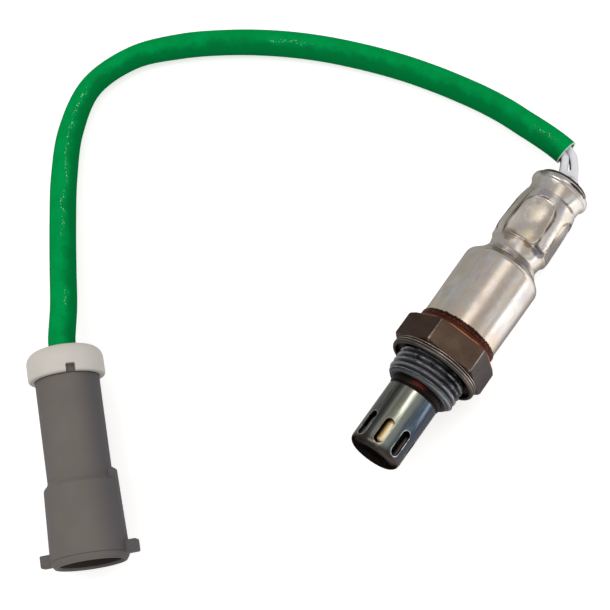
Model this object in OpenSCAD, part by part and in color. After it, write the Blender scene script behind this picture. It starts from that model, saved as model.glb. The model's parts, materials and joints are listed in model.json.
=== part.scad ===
// Heated exhaust oxygen sensor with its lead and plug, lying on a bench.
// Sensor pieces are drawn upright along their own axis, tip down, with height 0
// at the underside of the hexagon, and are then laid down on the bench.
// Plug pieces are drawn along the plug's axis, with 0 at the collar's rear face.

/* [Threaded shell] */
// Thread diameter
thread_d = 18; // [17.6:0.1:18.4]
// Thread pitch
thread_pitch = 1.5; // [1:0.25:1.75]
// Distance from the hexagon down to the end of the thread
thread_end = 8.3; // [8:0.1:9.4]
// Diameter of the relief groove under the hexagon
relief_d = 16; // [15.6:0.1:16.4]
// Height of the relief groove
relief_h = 2.4; // [2.2:0.1:2.6]
// Hexagon across its flats
hex_af = 22; // [21.6:0.1:23]
// Height of the hexagon
hex_h = 6.6; // [5.6:0.1:7.4]
// Turn of the hexagon about the sensor's axis
hex_roll = 10; // [6:1:16]
// Bevel on the hexagon's corners
hex_bevel = 0.3; // [0.1:0.1:0.6]
// Diameter of the weld band above the hexagon
band_d = 20.3; // [20.1:0.1:20.8]
// Height of the weld band
band_h = 3; // [2.6:0.1:3.4]
// Main bore of the shell
shell_bore_d = 12.4; // [12:0.1:12.6]
// Bore that the sensing element's body passes through
throat_d = 8.8; // [8.4:0.1:9.2]
// Height of the rolled lip's top above the hexagon's underside
lip_top = 15.3; // [15:0.1:15.6]
// Diameter of the nose ring below the thread
nose_d = 13.6; // [13.4:0.1:13.8]

/* [Gasket] */
// Outer diameter of the folded gasket
gasket_d = 22.7; // [22.2:0.1:23.2]
// Height of the folded gasket
gasket_h = 2.9; // [2.6:0.1:3.3]
// Thickness of the gasket's sheet
gasket_t = 0.5; // [0.4:0.05:0.6]

/* [Shields] */
// Outer diameter of the outer shield
shield_d = 13.2; // [13:0.1:13.2]
// Length of the outer shield
shield_len = 17.2; // [16.6:0.1:18]
// Sheet thickness of both shields
shield_t = 0.5; // [0.4:0.05:0.6]
// Radius round the closed end of the outer shield
shield_round = 1.8; // [1.4:0.1:2.4]
// Number of slots round the outer shield
slot_count = 8; // [6:1:8]
// Width of a slot
slot_w = 2.4; // [2:0.1:2.6]
// Length of a slot
slot_len = 6.8; // [5:0.1:7.2]
// Height of the slots' lower ends above the closed end
slot_low = 1.6; // [1.3:0.1:2.4]
// Turn of the slots about the sensor's axis
slot_roll = -5; // [-20:1:20]
// Outer diameter of the inner shield
inner_shield_d = 9.9; // [9.6:0.1:10]
// Gap between the two closed ends
shield_end_gap = 1.4; // [1.2:0.1:2]

/* [Sensing element] */
// Play of the element's flange in the shell's bore
flange_play = 0.25; // [0.2:0.05:0.4]
// Height of the flange's upper edge
flange_top = 1.8; // [1.4:0.1:2.4]
// Diameter of the element above its flange
element_d = 8.6; // [8.2:0.1:8.8]
// Height of the element's open end
element_top = 21.5; // [21:0.1:21.8]
// Bore of the element
element_bore = 3.9; // [3.7:0.1:4.1]
// Radius of the element's closed tip
element_tip_r = 2.4; // [2.3:0.1:2.6]
// Diameter of the heater rod
heater_d = 3; // [2.8:0.1:3.1]
// Height of the heater rod's upper end
heater_top = 27.5; // [27:0.1:28]
// Top of the powder seal
talc_top = 8.6; // [7.5:0.1:9.4]
// Thickness of the clamping ring under the rolled lip
clamp_t = 0.7; // [0.5:0.1:1]
// Height of the rolled lip's metal
lip_t = 0.8; // [0.6:0.1:1]

/* [Cover] */
// Sheet thickness of the cover
cover_t = 0.5; // [0.4:0.05:0.6]
// Diameter of the cover at its foot
cover_foot_d = 19.7; // [19.5:0.1:19.9]
// Diameter of the cover at its shoulder
cover_body_d = 20.1; // [19.8:0.1:20.4]
// Height of the shoulder
shoulder_at = 27.7; // [27:0.1:28.4]
// Radius of the shoulder's outer corner
shoulder_r = 2; // [1.5:0.1:2.5]
// Diameter of the neck
neck_d = 13.3; // [13:0.1:13.8]
// Height of the neck
neck_at = 33.7; // [33.4:0.1:34.4]
// Diameter of the crimped section
crimp_d = 16.7; // [16.4:0.1:16.8]
// Height of the crimped section's widest place
crimp_at = 38.8; // [38.4:0.1:39.4]
// Diameter of the waist under the rim
waist_d = 13.8; // [13.5:0.1:14.2]
// Height of the waist
waist_at = 52.4; // [52.2:0.1:52.8]
// Diameter of the rim
rim_d = 15.5; // [15.2:0.1:15.8]
// Height of the cover's upper end
cover_top = 56.3; // [56:0.1:57]
// Number of pressed panels round the crimped section
panel_count = 4; // [4:1:4]
// Distance of a panel's flat from the sensor's axis
panel_flat = 7.05; // [6.95:0.05:7.15]
// Width of the punch that presses a panel
panel_w = 9; // [8.8:0.1:9.2]
// Length of a panel
panel_len = 12.8; // [12.2:0.1:13]
// Height of a panel's lower end
panel_low = 35.4; // [35:0.1:35.8]
// Turn of the panels about the sensor's axis
panel_roll = -9; // [-20:1:20]

/* [Rear stack] */
// Outer diameter of the terminal separator
separator_d = 15.2; // [14.6:0.1:15.4]
// Height of the separator's lower face
separator_low = 23.2; // [23:0.1:23.4]
// Height of the separator
separator_h = 7.2; // [6.8:0.1:7.2]
// Height of the separator's closed web
separator_web = 2; // [1.6:0.1:2.2]
// Distance of each wire from the sensor's axis, across and up
wire_step = 1.6; // [1.5:0.05:1.7]
// Height of the grommet's lower face
grommet_low = 37.6; // [37.2:0.1:38]
// How far the grommet stands out of the cover
grommet_proud = 0.9; // [0.6:0.1:1.2]

/* [Lead] */
// Diameter of a wire
wire_d = 1.9; // [1.7:0.1:1.9]
// Outer diameter of the lead's sleeve
lead_d = 6.6; // [6.5:0.1:6.7]
// Wall of the lead's sleeve
lead_t = 0.5; // [0.4:0.05:0.6]
// Half the spacing of the wires inside the sleeve
bundle_step = 1; // [0.98:0.01:1.02]

/* [Plug] */
// Heading of the plug on the bench, from its collar to its mouth
plug_heading = -135.7; // [-138:0.1:-133]
// Length of the plug, collar to mouth
plug_len = 51.9; // [51:0.1:53]
// Diameter of the collar
collar_d = 18.5; // [18.2:0.1:18.6]
// Length of the collar
collar_len = 7.2; // [6.9:0.1:8]
// Radius round the collar's rear edge
collar_round = 3; // [2:0.1:3.2]
// Thickness of the collar's rear wall
collar_wall = 3.2; // [2.8:0.1:3.4]
// Width of the notch in the collar
notch_w = 2.3; // [1.8:0.1:2.8]
// Depth of the notch in the collar
notch_h = 1.9; // [1.5:0.1:2.3]
// Diameter of the barrel behind the step
barrel_d = 15.4; // [15.2:0.1:15.8]
// Distance from the collar's rear face to the step
step_at = 33; // [32.5:0.1:34]
// Diameter of the front barrel at the step
front_d = 17.7; // [17.4:0.1:18]
// Largest diameter of the front barrel
flare_d = 18.6; // [18.6:0.1:18.9]
// Diameter of the mouth's cavity
mouth_d = 14.8; // [14.4:0.1:15.2]
// Bore that carries the inner pieces
carrier_d = 12.7; // [12.4:0.1:12.9]
// Span over the two ears
ear_span = 23.6; // [22.6:0.1:24.6]
// Length and thickness of an ear
ear_size = 3; // [2.6:0.1:3.6]
// Turn of the ears and the rib about the plug's axis
ear_roll = 10; // [0:1:16]
// Distance from the mouth back to an ear
ear_back = 0.8; // [0.5:0.1:1.2]
// Distance of each pin from the plug's axis, across and up
pin_step = 2.5; // [2.4:0.1:2.6]
// How far the pins stay back from the mouth
pin_back = 8.2; // [7.5:0.1:9.5]
// Width of a pin's blade
pin_w = 1.5; // [1.3:0.1:1.6]
// Thickness of a pin's blade
pin_t = 0.8; // [0.6:0.1:0.9]

/* [Hidden] */
$fn = 96;

// Clearance between pieces that fit in each other
fit = 0.05;
// Overlap that makes a cut run through a face
eps = 0.1;

// Where the four wires sit round an axis: [across, up] in steps
AT_WHITE_A = [1, 1];
AT_WHITE_B = [-1, 1];
AT_GREY = [1, -1];
AT_BLACK = [-1, -1];

// Shell
thread_r = thread_d / 2;
thread_depth = 0.61 * thread_pitch;
thread_bevel = 1.2;
relief_r = relief_d / 2;
hex_corner_r = hex_af / 2 / cos(30);
band_r = band_d / 2;
shell_bore_r = shell_bore_d / 2;
throat_r = throat_d / 2;
seat_low = -4.4;
seat_top = seat_low + shell_bore_r - throat_r;
groove_h = 0.5;
nose_h = 1.5;
shield_top = -thread_end - nose_h - groove_h;
spigot_len = 3.2;
spigot_low = shield_top - spigot_len;
band_top = hex_h + band_h;
cover_seat_h = 2.4;
skirt_r = shell_bore_r + 1.3;
lip_r = 5.3;

// Shields
shield_r = shield_d / 2;
spigot_r = shield_r - shield_t - fit;
tip_low = shield_top - shield_len;
inner_shield_r = inner_shield_d / 2;
inner_low = tip_low + shield_t + shield_end_gap;
inner_seat_r = inner_shield_r + fit;
inner_press = 3;
inner_flange_t = 0.5;

// Sensing element, and the washer between its flange and the shell's seat
seat_gap = 0.7;
element_r = element_d / 2;
flange_r = shell_bore_r - flange_play;
element_tip = inner_low + shield_t + 1.2;
heater_r = heater_d / 2;
body_r = throat_r - 0.6;
lip_low = lip_top - lip_t;
bush_top = lip_low - clamp_t - 2 * fit;

// Cover
cover_foot = band_top + fit;
neck_r = neck_d / 2;
crimp_r = crimp_d / 2;
crimp_rise = waist_at - crimp_at;
waist_r = waist_d / 2;
rim_r = rim_d / 2;
rim_at = cover_top - 1.4;
mouth_r = 6;

// Contacts: strips of one sheet, each with a barrel on its wire
strip_t = 0.35;
clip_h = 6;
holder_h = 0.55 * separator_h;
strip_w = 1.2;
wire_r = wire_d / 2;
post_r = norm([wire_step, wire_step]);
strip_r = post_r - strip_t / 2;
barrel_low = separator_low + separator_h + 0.6;
barrel_h = 4;
barrel_wall = 0.35;
wire_start = barrel_low + 1;

// Sensor lying on a corner of its hexagon and on its rim
rest_r = hex_corner_r * cos(30 - hex_roll);
rest_at = hex_h - hex_bevel;
lie_tilt = atan((rest_r - rim_r) / (rim_at - rest_at));
lie_z = rest_r * cos(lie_tilt) + rest_at * sin(lie_tilt);
low_end = (tip_low + shield_round) * cos(lie_tilt)
    - (shield_r - shield_round) * sin(lie_tilt) - shield_round;
high_end = (cover_top + grommet_proud) * cos(lie_tilt) + mouth_r * sin(lie_tilt);
lie_x = -(low_end + high_end) / 2;

// Plug
flare_r = flare_d / 2;
barrel_r = barrel_d / 2;
collar_r = collar_d / 2;
front_r = front_d / 2;
cavity_r = mouth_d / 2;
carrier_r = carrier_d / 2;
flare_at = plug_len - 4;
lead_r = lead_d / 2;
lead_insert = 2.4;
seal_low = 6.6;
seal_h = 7;
carrier_low = seal_low + seal_h + 0.2;
carrier_top = step_at + 2.4;
pin_tip = plug_len - pin_back;
wire_end = carrier_low + 3.6;
notch_roll = -13;
plug_xy = [-62.9, 75.5];
plug_z = flare_r;
plug_dir = [cos(plug_heading), sin(plug_heading), 0];

// Route of the bare wires from the sensor to the sleeve: [x, y, z, half spacing]
TAIL = [
    [43.6, 0.15, 7.2, 1.55], [45.2, 0.75, 7.1, 1.4], [46.8, 1.55, 7.1, 1.25],
    [48.1, 2.4, 7.2, 1.1], [49, 3.4, 7.3, bundle_step]
];

// Route of the sleeve from its open end to the plug: [x, y, z, share of the width kept]
LEAD = [
    [49.6, 4.2, 7.4, 1], [49.9, 6, 7.3, 1], [50.3, 9, 6.9, 1], [50.7, 13.1, 6.1, 1],
    [51, 17.6, 5.2, 1], [51.3, 23.1, 4.3, 1], [51, 29.1, 3.7, 1], [50.2, 35.1, 3.35, 1],
    [48.6, 43, 3.35, 1], [46.2, 52, 3.35, 1], [42.7, 62, 3.35, 1], [38.4, 72, 3.35, 1],
    [33, 81.9, 3.35, 1], [26.4, 91.6, 3.35, 0.98], [18.6, 100.8, 3.35, 0.96],
    [9.1, 108.8, 3.35, 0.86], [-3.2, 112.7, 3.35, 0.85], [-15.6, 109.8, 3.35, 0.95],
    [-26.4, 103.8, 3.35, 1], [-36, 96.9, 3.8, 1], [-45.3, 89.6, 5.1, 1], [-53.6, 82.8, 7.2, 1]
];

// Number of rings between two points of a route
RING_STEPS = 2;

function arc(cx, cy, r, from, to, n = 5) =
    [for (i = [0:n]) let (a = from + (to - from) * i / n) [cx + r * cos(a), cy + r * sin(a)]];

function on_axis(t) = [lie_x + t * cos(lie_tilt), 0, lie_z - t * sin(lie_tilt)];

function on_plug(w) = [plug_xy[0], plug_xy[1], plug_z] + w * plug_dir;

function with_step(p, s) = [p[0], p[1], p[2], s];

// Whole route of the wires' middle, from the contacts' barrels to the pins
function bundle() = concat(
    [for (t = [wire_start, grommet_low + 6.4, cover_top + grommet_proud]) with_step(on_axis(t), wire_step)],
    TAIL,
    [for (i = [1:len(LEAD) - 1]) with_step(LEAD[i], bundle_step)],
    [with_step(on_plug(-3), bundle_step), with_step(on_plug(lead_insert - 0.1), bundle_step),
     with_step(on_plug((lead_insert + seal_low - 0.8) / 2), (bundle_step + pin_step) / 2),
     with_step(on_plug(seal_low - 0.8), pin_step), with_step(on_plug(seal_low), pin_step),
     with_step(on_plug(wire_end), pin_step)]
);

function sleeve_route() =
    concat(LEAD, [for (w = [-3, 0, lead_insert]) with_step(on_plug(w), 1)]);

// Smooth curve through the points of a route
function smooth_at(p, i, u) =
    let (a = p[max(i - 1, 0)], b = p[i], c = p[i + 1], d = p[min(i + 2, len(p) - 1)])
    0.5 * (2 * b + (c - a) * u + (2 * a - 5 * b + 4 * c - d) * u * u
        + (3 * b - 3 * c + d - a) * u * u * u);

function smooth(p) = concat(
    [for (i = [0:len(p) - 2]) for (k = [0:RING_STEPS - 1]) smooth_at(p, i, k / RING_STEPS)],
    [p[len(p) - 1]]
);

function unit(v) = v / norm(v);

function first3(v) = [v[0], v[1], v[2]];

function heading(p, i) =
    unit(first3(p[min(i + 1, len(p) - 1)]) - first3(p[max(i - 1, 0)]));

// Level direction to the left of the route, and the direction square to both
function left_of(h) = unit(cross([0, 0, 1], h));

function ring(c, h, r_up, r_side, sides) =
    let (l = left_of(h), u = cross(h, l))
    [for (k = [0:sides - 1]) let (a = 360 * k / sides) c + r_up * cos(a) * u + r_side * sin(a) * l];

// Route of one wire, moved off the bundle's middle by its place in the bundle
function wire_route(place) =
    let (p = smooth(bundle()))
    [for (i = [0:len(p) - 1])
        let (h = heading(p, i), l = left_of(h), u = cross(h, l))
        first3(p[i]) + p[i][3] * (place[0] * l + place[1] * u)];

module sweep(p, r, sides) {
    n = len(p);
    pts = [for (i = [0:n - 1]) each ring(p[i], heading(p, i), r, r, sides)];
    sides_faces = [for (i = [0:n - 2]) for (k = [0:sides - 1])
        let (a = i * sides + k, b = i * sides + (k + 1) % sides)
        each [[a, b, b + sides], [a, b + sides, a + sides]]];
    caps = [[for (k = [sides - 1:-1:0]) k], [for (k = [0:sides - 1]) (n - 1) * sides + k]];
    polyhedron(pts, concat(sides_faces, caps));
}

module sweep_tube(p, r, wall, sides) {
    n = len(p);
    m = n * sides;
    pts = [for (inset = [0, wall]) for (i = [0:n - 1])
        each ring(first3(p[i]), heading(p, i), r - inset, r * p[i][3] - inset, sides)];
    walls = [for (i = [0:n - 2]) for (k = [0:sides - 1])
        let (a = i * sides + k, b = i * sides + (k + 1) % sides)
        each [[a, b, b + sides], [a, b + sides, a + sides],
            [m + a, m + b + sides, m + b], [m + a, m + a + sides, m + b + sides]]];
    ends = [for (k = [0:sides - 1])
        let (j = (k + 1) % sides, e = (n - 1) * sides)
        each [[k, m + k, m + j], [k, m + j, j],
            [e + k, m + e + j, m + e + k], [e + k, e + j, m + e + j]]];
    polyhedron(pts, concat(walls, ends));
}

// Lays a piece drawn upright on the sensor's axis down on the bench
module on_sensor() {
    translate([lie_x, 0, lie_z]) rotate([0, 90 + lie_tilt, 0]) rotate([0, 0, 180]) children();
}

// Places a piece drawn upright on the plug's axis; its X then points up
module on_plug_axis() {
    translate([plug_xy[0], plug_xy[1], plug_z]) rotate([0, 0, plug_heading])
        rotate([0, 90, 0]) rotate([0, 0, 180]) children();
}

module tube(r_out, r_in, low, h) {
    translate([0, 0, low]) difference() {
        cylinder(r = r_out, h = h);
        translate([0, 0, -eps]) cylinder(r = r_in, h = h + 2 * eps);
    }
}

// Punch with a round upper end, pointing out along X from the given distance
module punch(w, len, from, to, low) {
    translate([from, 0, low]) rotate([0, 90, 0]) linear_extrude(to - from) union() {
        translate([w / 2 - len, 0]) circle(d = w);
        translate([w / 2 - len, -w / 2]) square([len - w / 2, w]);
    }
}

// The same punch, with both ends round
module round_punch(w, len, from, to, low) {
    punch(w, len - w / 2, from, to, low + w / 2);
    translate([from, 0, low + w / 2]) rotate([0, 90, 0]) cylinder(d = w, h = to - from);
}

module at_wires(step) {
    for (p = [AT_WHITE_A, AT_WHITE_B, AT_GREY, AT_BLACK])
        translate([p[1] * step, -p[0] * step, 0]) children();
}

// Threaded shell: hexagon, thread, nose and rolled rear lip in one piece
module shell_outline() {
    rotate_extrude() polygon([
        [0, spigot_low], [spigot_r, spigot_low], [spigot_r, shield_top + fit],
        [nose_d / 2 - 0.4, shield_top + fit], [nose_d / 2 - 0.4, shield_top + groove_h],
        [nose_d / 2, shield_top + groove_h + 0.1], [nose_d / 2, -thread_end],
        [thread_r - thread_bevel, -thread_end], [thread_r, -thread_end + thread_bevel],
        [thread_r, -relief_h - (thread_r - relief_r)], [relief_r, -relief_h], [relief_r, 0],
        [band_r, 0], [band_r + 0.4, hex_h], [band_r, hex_h + 0.8],
        [band_r, hex_h + band_h / 2 - 0.1], [band_r - 0.2, hex_h + band_h / 2],
        [band_r, hex_h + band_h / 2 + 0.1], [band_r, band_top - 0.2], [band_r - 0.2, band_top],
        [cover_foot_d / 2 - cover_t - fit, band_top],
        [cover_foot_d / 2 - cover_t - fit, band_top + cover_seat_h],
        [skirt_r, band_top + cover_seat_h], [skirt_r, lip_top - 1],
        [skirt_r - 0.3, lip_top - 0.3], [skirt_r - 1, lip_top], [0, lip_top]
    ]);
}

module hexagon() {
    intersection() {
        cylinder(r = hex_corner_r, h = hex_h, $fn = 6);
        rotate_extrude() polygon([
            [0, 0], [hex_corner_r - 2 * hex_bevel, 0], [hex_corner_r, hex_bevel],
            [hex_corner_r, hex_h - hex_bevel], [hex_corner_r - 2 * hex_bevel, hex_h], [0, hex_h]
        ]);
    }
}

module shell_bore() {
    rotate_extrude() polygon([
        [0, spigot_low - eps], [inner_seat_r, spigot_low - eps],
        [inner_seat_r, spigot_low + inner_press + fit], [throat_r, spigot_low + inner_press + fit],
        [throat_r, seat_low], [shell_bore_r, seat_top], [shell_bore_r, lip_low],
        [lip_r, lip_low], [lip_r, lip_top + eps], [0, lip_top + eps]
    ]);
}

module metal_shell() {
    color([0.34, 0.27, 0.22]) on_sensor() difference() {
        union() {
            shell_outline();
            rotate([0, 0, 30 + hex_roll]) hexagon();
        }
        shell_bore();
    }
}

// Crush gasket folded from one sheet, held in the relief groove
module sealing_gasket() {
    r = gasket_d / 2;
    t = gasket_t;
    inner = relief_r + 3 * fit;
    low = -gasket_h;
    color([0.55, 0.54, 0.52]) on_sensor() rotate_extrude() polygon([
        [inner, -fit], [r - 0.4, -fit], [r - 0.15, -0.2], [r - 0.15, -t - 0.05],
        [r - 1, -t - 0.15], [r - 1, -t - 0.35], [r - 0.2, -t - 0.35],
        [r, -t - 0.6], [r, low + 0.5], [r - 0.2, low + 0.1], [r - 0.6, low],
        [r - 0.9, low + 0.15], [r - 0.7, low + 0.45], [r - 0.5, low + 0.7],
        [r - 0.5, -2 * t - 0.5], [r - 0.9, -2 * t - 0.4], [inner, -2 * t - 0.4]
    ]);
}

// Drawn cup with a ring of slots near its closed end
module outer_shield() {
    r = shield_r;
    c = shield_round;
    color([0.47, 0.49, 0.46]) on_sensor() difference() {
        rotate_extrude() polygon(concat(
            [[0, tip_low]], arc(r - c, tip_low + c, c, -90, 0),
            [[r, shield_top], [r - shield_t, shield_top]],
            arc(r - c, tip_low + c, c - shield_t, 0, -90), [[0, tip_low + shield_t]]
        ));
        for (k = [0:slot_count - 1]) rotate([0, 0, slot_roll + 360 * k / slot_count])
            round_punch(slot_w, slot_len, inner_shield_r, r + eps, tip_low + slot_low);
    }
}

// Inner cup, pressed into the nose, with a row of holes and an open centre
module inner_shield() {
    r = inner_shield_r;
    c = 1.5;
    color([0.72, 0.62, 0.4]) on_sensor() difference() {
        rotate_extrude() polygon(concat(
            [[1.2, inner_low]], arc(r - c, inner_low + c, c, -90, 0),
            [[r, spigot_low - inner_flange_t - fit], [spigot_r - 0.3, spigot_low - inner_flange_t - fit],
             [spigot_r - 0.3, spigot_low - fit], [r, spigot_low - fit], [r, spigot_low + inner_press],
             [r - shield_t, spigot_low + inner_press]],
            arc(r - c, inner_low + c, c - shield_t, 0, -90), [[1.2, inner_low + shield_t]]
        ));
        for (k = [0:5]) rotate([0, 0, 60 * k]) translate([0, 0, spigot_low - 2.4])
            rotate([0, 90, 0]) cylinder(d = 1.5, h = r + eps, $fn = 32);
    }
}

// Closed ceramic thimble with the flange it is clamped by
module sensing_element() {
    seat = seat_top + seat_gap - shell_bore_r;
    color([0.9, 0.88, 0.82]) on_sensor() difference() {
        rotate_extrude() polygon(concat(
            arc(0, element_tip + element_tip_r, element_tip_r, -90, 0),
            [[body_r - 0.1, seat + body_r], [body_r, seat + body_r], [flange_r, seat + flange_r],
             [flange_r, flange_top], [element_r, flange_top + flange_r - element_r],
             [element_r, element_top], [0, element_top]]
        ));
        translate([0, 0, element_tip + 1.2 + element_bore / 2]) {
            sphere(d = element_bore, $fn = 48);
            cylinder(d = element_bore, h = element_top - element_tip);
        }
    }
}

module heater_rod() {
    color([0.86, 0.85, 0.8]) on_sensor() rotate_extrude() polygon([
        [0, element_tip + 2.4], [heater_r - 0.4, element_tip + 2.4],
        [heater_r, element_tip + 2.8], [heater_r, heater_top - 0.3],
        [heater_r - 0.3, heater_top], [0, heater_top]
    ]);
}

module seat_washer() {
    seat = seat_top - shell_bore_r;
    color([0.7, 0.7, 0.68]) on_sensor() rotate_extrude() polygon([
        for (p = [[throat_r + 0.1, fit], [shell_bore_r - 0.2, fit],
                [shell_bore_r - 0.2, seat_gap - fit], [throat_r + 0.1, seat_gap - fit]])
            [p[0], seat + p[0] + p[1]]
    ]);
}

// Pressed powder ring above the flange
module talc_seal() {
    r_in = element_r + fit;
    r_out = shell_bore_r - fit;
    color([0.8, 0.78, 0.74]) on_sensor() rotate_extrude() polygon([
        [r_out, flange_top + 2 * fit], [r_out, talc_top], [r_in, talc_top],
        [r_in, flange_top + flange_r - r_in + 2 * fit], [flange_r, flange_top + 2 * fit]
    ]);
}

module ceramic_bush() {
    color([0.92, 0.91, 0.88]) on_sensor()
        tube(shell_bore_r - fit, element_r + fit, talc_top + fit, bush_top - talc_top - fit);
}

module clamp_ring() {
    color([0.6, 0.6, 0.6]) on_sensor()
        tube(shell_bore_r - fit, element_r + 0.3, bush_top + fit, clamp_t);
}

// Outline of the rear cover from foot to rolled end, as [radius, height]
function cover_line(t) = concat(
    [[cover_foot_d / 2 - t, cover_foot]],
    arc(cover_body_d / 2 - shoulder_r, shoulder_at, shoulder_r - t, 0, 50, 4),
    [[neck_r + 1.2 - t, neck_at - 2.9], [neck_r + 0.6 - t, neck_at - 2.1],
     [neck_r + 0.2 - t, neck_at - 1.1], [neck_r - t, neck_at],
     [neck_r + 0.4 - t, neck_at + 0.9], [crimp_r - 0.5 - t, crimp_at - 2],
     [crimp_r - 0.1 - t, crimp_at - 0.8], [crimp_r - t, crimp_at],
     [crimp_r - 0.2 - t, crimp_at + 0.27 * crimp_rise],
     [crimp_r - 0.5 - t, crimp_at + 0.54 * crimp_rise],
     [crimp_r - 0.8 - t, crimp_at + 0.71 * crimp_rise], [waist_r + 0.25 - t, waist_at - 1.8],
     [waist_r + 0.05 - t, waist_at - 0.8], [waist_r - t, waist_at],
     [waist_r + 0.3 - t, waist_at + 1]]
);

// Form of the cover moved inwards by a distance, with the pressed panels
module cover_form(inset) {
    foot = cover_foot - (inset > 0 ? eps : 0);
    difference() {
        rotate_extrude() polygon(concat(
            [[0, foot], [cover_foot_d / 2 - inset, foot]], cover_line(inset),
            [[rim_r - 0.25 - inset, rim_at - 1.2], [rim_r - 0.45 - inset, rim_at - 0.95],
             [rim_r - 0.1 - inset, rim_at - 0.6], [rim_r - inset, rim_at],
             [rim_r - 0.2 - inset, rim_at + 0.5 - inset / 2],
             [mouth_r + 0.6 - inset / 2, cover_top - inset], [0, cover_top - inset]]
        ));
        for (k = [0:panel_count - 1]) rotate([0, 0, panel_roll + 360 * k / panel_count])
            punch(panel_w + 2 * inset, panel_len + 2 * inset, panel_flat - inset, crimp_r + 1,
                panel_low - inset);
    }
}

// Drawn steel cover: body, neck, crimped section and rolled rim in one sheet
module rear_cover() {
    color([0.74, 0.71, 0.67]) on_sensor() difference() {
        cover_form(0);
        cover_form(cover_t);
        translate([0, 0, cover_top - 2]) cylinder(r = mouth_r, h = 3);
    }
}

// Rubber plug squeezed by the crimped section, with a hole for each wire
module rear_grommet() {
    color([0.07, 0.07, 0.07]) on_sensor() difference() {
        union() {
            intersection() {
                cover_form(cover_t + fit);
                translate([0, 0, grommet_low]) cylinder(r = crimp_r, h = cover_top);
            }
            translate([0, 0, cover_top - 2])
                cylinder(r = mouth_r - fit, h = 2 + grommet_proud);
        }
        at_wires(wire_step) translate([0, 0, grommet_low - eps])
            cylinder(r = wire_r + fit, h = cover_top, $fn = 48);
    }
}

// Stem and wire barrel of a contact, at one of the four wire places
module contact_stem(place, from) {
    turn = atan2(-place[0], place[1]);
    rotate([0, 0, turn]) {
        translate([strip_r, -strip_w / 2, from])
            cube([strip_t, strip_w, barrel_low + 1 - from]);
        translate([post_r, 0, 0])
            tube(wire_r + fit + barrel_wall, wire_r + fit, barrel_low, barrel_h);
        translate([post_r, 0, barrel_low - 0.4])
            cylinder(r = wire_r + fit + barrel_wall, h = 0.8);
    }
}

module inner_contact() {
    clip_r = element_bore / 2 - fit;
    color([0.78, 0.76, 0.7]) on_sensor() {
        tube(clip_r, clip_r - 0.3, element_top - clip_h, clip_h + 0.2);
        tube(post_r + 0.3, clip_r - 0.3, element_top + 0.1, strip_t);
        contact_stem(AT_WHITE_A, element_top + 0.1);
    }
}

module outer_contact() {
    clip_r = element_r + fit;
    rise = element_top + 0.8;
    turn = atan2(-AT_GREY[0], AT_GREY[1]);
    color([0.78, 0.76, 0.7]) on_sensor() {
        tube(clip_r + 0.3, clip_r, lip_top + 0.5, element_top - lip_top - 0.7);
        rotate([0, 0, turn]) {
            translate([clip_r, -strip_w / 2, element_top - 1])
                cube([0.3, strip_w, rise - element_top + 1 + strip_t]);
            translate([strip_r, -strip_w / 2, rise])
                cube([clip_r + 0.3 - strip_r, strip_w, strip_t]);
        }
        contact_stem(AT_GREY, rise);
    }
}

module heater_contact(place) {
    turn = atan2(-place[0], place[1]);
    pad_low = separator_low + 0.4;
    joggle = heater_top - 1.4;
    color([0.8, 0.74, 0.6]) on_sensor() {
        rotate([0, 0, turn]) {
            translate([heater_r + fit, -strip_w / 2, pad_low])
                cube([strip_t, strip_w, joggle - pad_low + strip_t]);
            translate([heater_r + fit, -strip_w / 2, joggle])
                cube([post_r - heater_r, strip_w, strip_t]);
        }
        contact_stem(place, joggle);
    }
}

module heater_contact_a() { heater_contact(AT_WHITE_B); }

module heater_contact_b() { heater_contact(AT_BLACK); }

// Ceramic block that keeps the four contacts apart
module terminal_separator() {
    web_low = separator_low + separator_h - separator_web;
    color([0.93, 0.92, 0.9]) on_sensor() difference() {
        translate([0, 0, separator_low]) cylinder(d = separator_d, h = separator_h);
        translate([0, 0, separator_low - eps])
            cylinder(r = post_r + 1, h = separator_h - separator_web + eps);
        at_wires(wire_step) translate([0, 0, web_low - eps])
            cylinder(r = strip_w / 2 + 0.2, h = separator_web + 2 * eps, $fn = 48);
    }
}

// Sheet holder that carries the separator in the cover
module separator_holder() {
    r = separator_d / 2 + fit;
    t = 0.3;
    reach = cover_foot_d / 2 - cover_t - fit;
    color([0.66, 0.66, 0.64]) on_sensor() rotate_extrude() polygon([
        [r - 1.4, separator_low - fit - t], [reach, separator_low - fit - t],
        [reach, separator_low - fit], [r + t, separator_low - fit],
        [r + t, separator_low + holder_h], [r, separator_low + holder_h], [r, separator_low - fit],
        [r - 1.4, separator_low - fit]
    ]);
}

module wire(place) { sweep(wire_route(place), wire_r, 8); }

module wire_white_a() { color([0.85, 0.84, 0.82]) wire(AT_WHITE_A); }

module wire_white_b() { color([0.85, 0.84, 0.82]) wire(AT_WHITE_B); }

module wire_grey() { color([0.5, 0.5, 0.5]) wire(AT_GREY); }

module wire_black() { color([0.06, 0.06, 0.06]) wire(AT_BLACK); }

module lead_sleeve() {
    color([0.03, 0.57, 0.28]) sweep_tube(smooth(sleeve_route()), lead_r, lead_t, 12);
}

// Snap-on rear collar with the notch that shows its turn
module plug_collar() {
    r = collar_r;
    c = collar_round;
    color([0.82, 0.8, 0.76]) on_plug_axis() difference() {
        rotate_extrude() polygon(concat(
            [[lead_r + 2 * fit, 0]], arc(r - c, c, c, -90, 0),
            arc(r - 0.7, collar_len - 0.7, 0.7, 0, 90, 3),
            [[barrel_r + 2 * fit, collar_len], [barrel_r + 2 * fit, collar_wall],
             [lead_r + 2 * fit, collar_wall]]
        ));
        rotate([0, 0, notch_roll]) translate([barrel_r - 1, -notch_w / 2, collar_len - notch_h])
            cube([collar_r, notch_w, notch_h + eps]);
    }
}

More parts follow.
